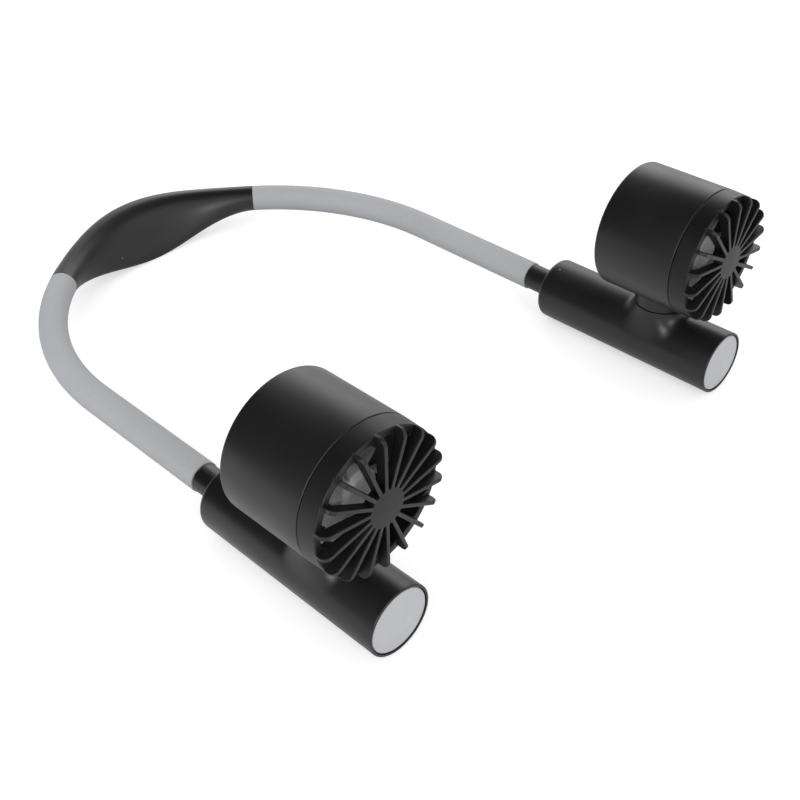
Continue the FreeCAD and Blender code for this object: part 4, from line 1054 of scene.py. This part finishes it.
class NECKFAN_OT_pod(bpy.types.Operator):
    """Build the neck pod: the shell on the neck side and the cover on its rear"""
    bl_idname = "neckfan.pod"
    bl_label = "Neck pod"

    def execute(self, context):
        sizes = context.scene.neck_fan_sizes
        pod = Pod(Arm("left", 1), sizes.pod_seam)
        for item, node in ((pod.shell("neck_pod_shell_fine"), "neck_pod_shell"),
                           (pod.cover("neck_pod_cover_fine"), "neck_pod_cover")):
            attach(item, "neck_band")
            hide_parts(node)
        return {"FINISHED"}


class Pod:
    """Leaf-shaped pod whose sections go from circles at its ends to a tilted leaf at its middle."""
    tilt = math.radians(42.0)
    parting = -3.4 * MM
    inset = 0.03 * MM
    cover_margin = 15.0 * MM
    front_steps, rear_steps, cover_steps, back_steps = 84, 36, 40, 12
    end_rows, middle_rows = 20, 110

    def __init__(self, arm, seam):
        self.arm = arm
        self.half_turn = math.pi / 2 - arm.turn
        self.seam = seam
        self.cover_turn = self.half_turn - self.cover_margin / arm.pod_radius

    def section(self, turn):
        """Points of a section across (u) and along its thickness (v), at an angle from the pod's middle."""
        middle_share = max(0.0, math.cos(math.pi / 2 * turn / self.half_turn))
        lowest = 12.75 * MM
        down = lowest / math.sin(self.tilt)
        up = 11.3 * MM
        rim, crown, face, edge = 4.7 * MM, 6.5 * MM, 5.9 * MM, 3.2 * MM
        rim_back, back, edge_back = 5.4 * MM, 5.8 * MM, 3.4 * MM
        leaf = [(up, 0, 0), (0.75 * up, rim, 45), (0.35 * up, crown, 75), (-0.2 * down, face, 105),
                (-0.62 * down, edge, 135), (-down, 0, 180), (-0.62 * down, -edge_back, 225), (0, -back, 270),
                (0.7 * up, -rim_back, 315)]
        end = 6.1 * MM
        lower_power, upper_power = 1.6, 2.4
        points = []
        for u, v, degrees in leaf:
            share = middle_share ** (lower_power if u < 0 else upper_power)
            angle = math.radians(degrees)
            points.append((share * u + (1 - share) * end * math.cos(angle),
                           share * v + (1 - share) * end * math.sin(angle)))
        return numpy.array(points)

    def curve(self, turn):
        """Closed smooth curve through a section's points: a function of the place round it, and the knots."""
        points = self.section(turn)
        count = len(points)
        gaps = numpy.linalg.norm(numpy.roll(points, -1, axis=0) - points, axis=1)
        knots = numpy.concatenate(([0.0], numpy.cumsum(gaps)))
        matrix = numpy.zeros((count, count))
        right = numpy.zeros((count, 2))
        for i in range(count):
            before, after = gaps[i - 1], gaps[i]
            nxt = (i + 1) % count
            matrix[i, i - 1] += before
            matrix[i, i] += 2 * (before + after)
            matrix[i, nxt] += after
            right[i] = 6 * ((points[nxt] - points[i]) / after - (points[i] - points[i - 1]) / before)
        bend = numpy.linalg.solve(matrix, right)

        def at(place):
            place = place % knots[-1]
            i = min(int(numpy.searchsorted(knots, place, side="right")) - 1, count - 1)
            nxt = (i + 1) % count
            gap = gaps[i]
            past = place - knots[i]
            left = gap - past
            return (bend[i] * left ** 3 / (6 * gap) + bend[nxt] * past ** 3 / (6 * gap)
                    + (points[i] / gap - bend[i] * gap / 6) * left
                    + (points[nxt] / gap - bend[nxt] * gap / 6) * past)

        return at, knots

    def crossing(self, at, start, stop):
        """Place between two others where the curve passes the parting face."""
        low, high = start, stop
        for _ in range(40):
            middle = (low + high) / 2
            if at(middle)[1] < self.parting:
                low = middle
            else:
                high = middle
        return low

    def spans(self, turn):
        """The curve with the places where the cover starts and ends on it."""
        at, knots = self.curve(turn)
        low_edge, back, up_edge = knots[5], knots[7], knots[9]
        return at, self.crossing(at, back, low_edge), self.crossing(at, back, up_edge), knots[-1]

    def point(self, turn, u, v):
        radial = self.arm.pod_radius + u * math.cos(self.tilt) - v * math.sin(self.tilt)
        lift = u * math.sin(self.tilt) + v * math.cos(self.tilt)
        return Vector((radial * math.sin(turn), self.arm.pod_y + radial * math.cos(turn), self.arm.z + lift))

    def loft(self, data, rows):
        """Join closed rows of equal length into a capped skin."""
        rings = [[data.verts.new(point) for point in row] for row in rows]
        for first, second in zip(rings, rings[1:]):
            for k in range(len(first)):
                j = (k + 1) % len(first)
                data.faces.new((first[k], first[j], second[j], second[k]))
        for ring in (rings[0], rings[-1]):
            data.faces.new(ring)

    def row(self, turn, parted):
        """Shell's row at an angle: the neck side and then the rear, which is flat where the cover sits."""
        at, first, last, total = self.spans(turn)
        front, rear = self.front_steps, self.rear_steps
        points = [at(last + (first + total - last) * k / front) for k in range(front + 1)]
        if parted:
            ends = at(first), at(last)
            points += [ends[0] + (ends[1] - ends[0]) * k / rear for k in range(1, rear)]
        else:
            points += [at(first + (last - first) * k / rear) for k in range(1, rear)]
        return [self.point(turn, *self.drawn_in(point)) for point in points]

    def drawn_in(self, point):
        length = math.hypot(point[0], point[1])
        return point * (1 - self.inset / length)

    def shell(self, name):
        end, cover = self.half_turn, self.cover_turn
        outer = [end - (end - cover) * k / self.end_rows for k in range(self.end_rows + 1)]
        middle = [cover * (1 - 2 * k / self.middle_rows) for k in range(self.middle_rows + 1)]
        rows = [self.row(-turn, False) for turn in outer]
        rows += [self.row(-turn, True) for turn in middle]
        rows += [self.row(turn, False) for turn in reversed(outer)]
        data = bmesh.new()
        self.loft(data, rows)
        bmesh.ops.remove_doubles(data, verts=data.verts, dist=0.001 * MM)
        return mesh_object(name, data, satin_black(), sharp=40.0)

    def cover(self, name):
        reach = self.cover_turn - self.seam / self.arm.pod_radius
        rear, back = self.cover_steps, self.back_steps
        rows = []
        for k in range(self.middle_rows + 1):
            turn = reach * (1 - 2 * k / self.middle_rows)
            at, first, last, _ = self.spans(-turn)
            low, high = first + self.seam, last - self.seam
            points = [at(low + (high - low) * i / rear) for i in range(rear + 1)]
            points += [points[-1] + (points[0] - points[-1]) * i / back for i in range(1, back)]
            rows.append([self.point(-turn, *self.drawn_in(point)) for point in points])
        data = bmesh.new()
        self.loft(data, rows)
        return mesh_object(name, data, satin_black(), sharp=40.0)


class NECKFAN_OT_buttons(bpy.types.Operator):
    """Finish the end buttons"""
    bl_idname = "neckfan.buttons"
    bl_label = "End buttons"

    def execute(self, context):
        for side, _ in SIDES:
            finish(f"{side}_end_button", painted_button())
        return {"FINISHED"}


class NECKFAN_OT_inner_pieces(bpy.types.Operator):
    """Finish the pieces inside: cells, boards, switches, clips, motors and leads"""
    bl_idname = "neckfan.inner_pieces"
    bl_label = "Inner pieces"

    def execute(self, context):
        steel = metal("plain_steel", (0.55, 0.55, 0.56), 0.34)
        bronze = metal("sintered_bronze", (0.60, 0.45, 0.22), 0.5)
        nylon = plastic("natural_nylon", (0.62, 0.61, 0.57), 0.5, wear=(0.7, 0.69, 0.65), tint=0.04)
        switch = plastic("switch_plastic", (0.05, 0.05, 0.054), 0.5)
        wrap = plastic("cell_wrap_film", (0.06, 0.13, 0.34), 0.3, grain=500.0, specular=0.5,
                       wear=(0.12, 0.2, 0.42))
        board = plastic("board_coat", (0.012, 0.09, 0.035), 0.35, grain=900.0, specular=0.5,
                        wear=(0.5, 0.4, 0.15))
        finishes = {
            "collar_ring": steel, "battery_cell": wrap, "control_board": board, "switch_case": switch,
            "button_carrier": switch, "swivel_washer": nylon, "button_clip": steel, "switch_plunger": nylon,
            "motor_can": steel, "motor_bush": bronze, "motor_screws": steel, "motor_lead": lead_sheath(),
            "swivel_clip": steel, "motor_shaft": steel, "core_ferrule": steel}
        for side, _ in SIDES:
            for piece, material in finishes.items():
                finish(f"{side}_{piece}", material)
        finish("right_charge_port", steel)
        finish("lead_joint", lead_sheath())
        return {"FINISHED"}


class NECKFAN_OT_stage(bpy.types.Operator):
    """Set the floor, the lights, the background and the camera"""
    bl_idname = "neckfan.stage"
    bl_label = "Stage"

    def execute(self, context):
        scene = context.scene
        scene.view_settings.view_transform = "Standard"
        make_floor(scene.neck_fan_colours.floor)
        make_world(scene)
        make_lamps(scene)
        make_camera(scene)
        return {"FINISHED"}


def seen_ray(tree, mirrored=1.0):
    """1 for what the camera sees, also through glass, and 0 for falling light.

    mirrored is the value for what the camera sees in a reflection.
    """
    path = wire(tree, "ShaderNodeLightPath")
    seen = times(tree, path.outputs["Is Glossy Ray"], mirrored)
    for ray in ("Is Camera Ray", "Is Transmission Ray"):
        seen = maths(tree, "MAXIMUM", seen, path.outputs[ray])
    return seen


def make_floor(colour):
    """Pale floor that shows white and keeps the fan's shadow."""
    half, level = 4.0, -0.02 * MM
    corners = (-half, -half), (half, -half), (half, half), (-half, half)
    data = bmesh.new()
    data.faces.new([data.verts.new((x, y, level)) for x, y in corners])
    material, tree, shader = new_material("studio_floor")
    place = wire(tree, "ShaderNodeTexCoord").outputs["Object"]
    cloud = noise(tree, place, 3.0, 2.0)
    darker = rgba([channel * 0.99 for channel in colour])
    tone = mix_colour(tree, ranged(tree, cloud, 0.3, 0.7), darker, rgba(colour))
    tree.links.new(tone, shader.inputs["Base Color"])
    shader.inputs["Roughness"].default_value = 0.9
    shader.inputs["Specular IOR Level"].default_value = 0.1
    strength = times(tree, seen_ray(tree, mirrored=0.6), 0.5)
    glow = wire(tree, "ShaderNodeEmission", {"Color": WHITE, "Strength": strength})
    total = wire(tree, "ShaderNodeAddShader", {0: shader.outputs[0], 1: glow.outputs[0]})
    output = next(node for node in tree.nodes if node.type == "OUTPUT_MATERIAL")
    tree.links.new(total.outputs[0], output.inputs["Surface"])
    mesh_object("studio_floor", data, material)


def make_world(scene):
    """White light from all round, and a white backdrop where the camera or a reflection meets it."""
    world = bpy.data.worlds.new("studio")
    scene.world = world
    world.use_nodes = True
    tree = world.node_tree
    tree.nodes.clear()
    room = wire(tree, "ShaderNodeBackground", {"Color": WHITE, "Strength": 0.8})
    backdrop = wire(tree, "ShaderNodeBackground", {"Color": WHITE, "Strength": 1.0})
    mixed = wire(tree, "ShaderNodeMixShader", {0: seen_ray(tree), 1: room.outputs[0], 2: backdrop.outputs[0]})
    output = wire(tree, "ShaderNodeOutputWorld", {"Surface": mixed.outputs[0]})
    output.is_active_output = True


def make_lamps(scene):
    """Softboxes aimed at the fan, and the dark cards that its black faces mirror."""
    aim = Vector((0.0, -0.02, 0.03))
    for name, place, width, height, power, on_matt, in_gloss in (
            ("key_softbox", (0.95, 0.6, 0.6), 1.2, 0.7, 4.5, True, True),
            ("front_softbox", (-0.3, -1.0, 0.56), 0.4, 0.34, 3.4, True, True),
            ("left_softbox", (-0.985, -0.39, 0.4), 0.34, 0.34, 5.5, False, True),
            ("ridge_softbox", (0.47, -0.63, 1.1), 0.45, 0.2, 0.4, False, True),
            ("side_softbox", (-0.9, 0.1, 0.5), 0.9, 0.7, 4.5, True, False)):
        lamp = bpy.data.lights.new(name, "AREA")
        lamp.shape = "RECTANGLE"
        lamp.size = width
        lamp.size_y = height
        lamp.energy = power
        item = bpy.data.objects.new(name, lamp)
        item.location = place
        item.rotation_euler = (aim - Vector(place)).to_track_quat("-Z", "Y").to_euler()
        item.visible_diffuse = on_matt
        item.visible_glossy = in_gloss
        scene.collection.objects.link(item)
    left, right, front, rear, top = -1.1, 1.3, -0.65, 1.3, 1.5
    make_flag("side_flag", [(left, -1.6, 0), (left, 1.6, 0), (left, 1.6, top), (left, -1.6, top)])
    make_flag("back_flag", [(left, rear, 0), (0.1, rear, 0), (0.1, rear, top), (left, rear, top)])
    make_flag("top_flag", [(left, front, top), (right, front, top), (right, rear, top), (left, rear, top)])
    make_flag("right_flag", [(right, -0.5, 0.3), (right, 0.1, 0.3), (right, 0.1, top), (right, -0.5, top)])


def make_flag(name, corners):
    """Dark studio card that only reflections show."""
    data = bmesh.new()
    data.faces.new([data.verts.new(corner) for corner in corners])
    card = mesh_object(name, data, plastic("black_card", (0.012, 0.012, 0.012), 0.9, specular=0.05))
    card.visible_camera = False
    card.visible_diffuse = False
    card.visible_transmission = False
    card.visible_shadow = False


def make_camera(scene):
    """Camera at the photograph's angle."""
    azimuth, elevation, roll = (math.radians(degrees) for degrees in (-45.48, 37.99, -0.82))
    distance, focal_length = 427.55 * MM, 51.08
    target = Vector((-18.48 * MM, Fan("right").barrel_front + 71.49 * MM, 19.26 * MM))
    back = Vector((math.sin(azimuth) * math.cos(elevation), -math.cos(azimuth) * math.cos(elevation),
                   math.sin(elevation)))
    right = Vector((0, 0, 1)).cross(back).normalized()
    up = back.cross(right)
    right, up = right * math.cos(roll) + up * math.sin(roll), up * math.cos(roll) - right * math.sin(roll)
    lens = bpy.data.cameras.new("photo_camera")
    lens.sensor_width = 36.0
    lens.lens = focal_length
    lens.clip_start = 0.01
    item = bpy.data.objects.new("photo_camera", lens)
    turn = Matrix((right, up, back)).transposed().to_4x4()
    item.matrix_world = Matrix.Translation(target + back * distance) @ turn
    scene.collection.objects.link(item)
    scene.camera = item


OPERATORS = (
    NECKFAN_OT_barrels, NECKFAN_OT_drums, NECKFAN_OT_front_grilles, NECKFAN_OT_rear_grilles,
    NECKFAN_OT_impellers, NECKFAN_OT_arms, NECKFAN_OT_pod, NECKFAN_OT_buttons, NECKFAN_OT_inner_pieces,
    NECKFAN_OT_stage)


class NECKFAN_PT_sidebar(bpy.types.Panel):
    """Steps, sizes and colours of the neck fan"""
    bl_idname = "NECKFAN_PT_sidebar"
    bl_label = "Neck Fan"
    bl_space_type = "VIEW_3D"
    bl_region_type = "UI"
    bl_category = "Neck Fan"

    def draw(self, context):
        for group in (context.scene.neck_fan_sizes, context.scene.neck_fan_colours):
            box = self.layout.box()
            for name in group.__annotations__:
                box.prop(group, name)
        for operator in OPERATORS:
            self.layout.operator(operator.bl_idname)


CLASSES = (NeckFanSizes, NeckFanColours, *OPERATORS, NECKFAN_PT_sidebar)


def register():
    for item in CLASSES:
        bpy.utils.register_class(item)
    bpy.types.Scene.neck_fan_sizes = PointerProperty(type=NeckFanSizes)
    bpy.types.Scene.neck_fan_colours = PointerProperty(type=NeckFanColours)


def unregister():
    del bpy.types.Scene.neck_fan_colours
    del bpy.types.Scene.neck_fan_sizes
    for item in reversed(CLASSES):
        bpy.utils.unregister_class(item)


def main():
    register()
    bpy.ops.neckfan.barrels()
    bpy.ops.neckfan.drums()
    bpy.ops.neckfan.front_grilles()
    bpy.ops.neckfan.rear_grilles()
    bpy.ops.neckfan.impellers()
    bpy.ops.neckfan.arms()
    bpy.ops.neckfan.pod()
    bpy.ops.neckfan.buttons()
    bpy.ops.neckfan.inner_pieces()
    bpy.ops.neckfan.stage()


if __name__ == "__main__":
    main()
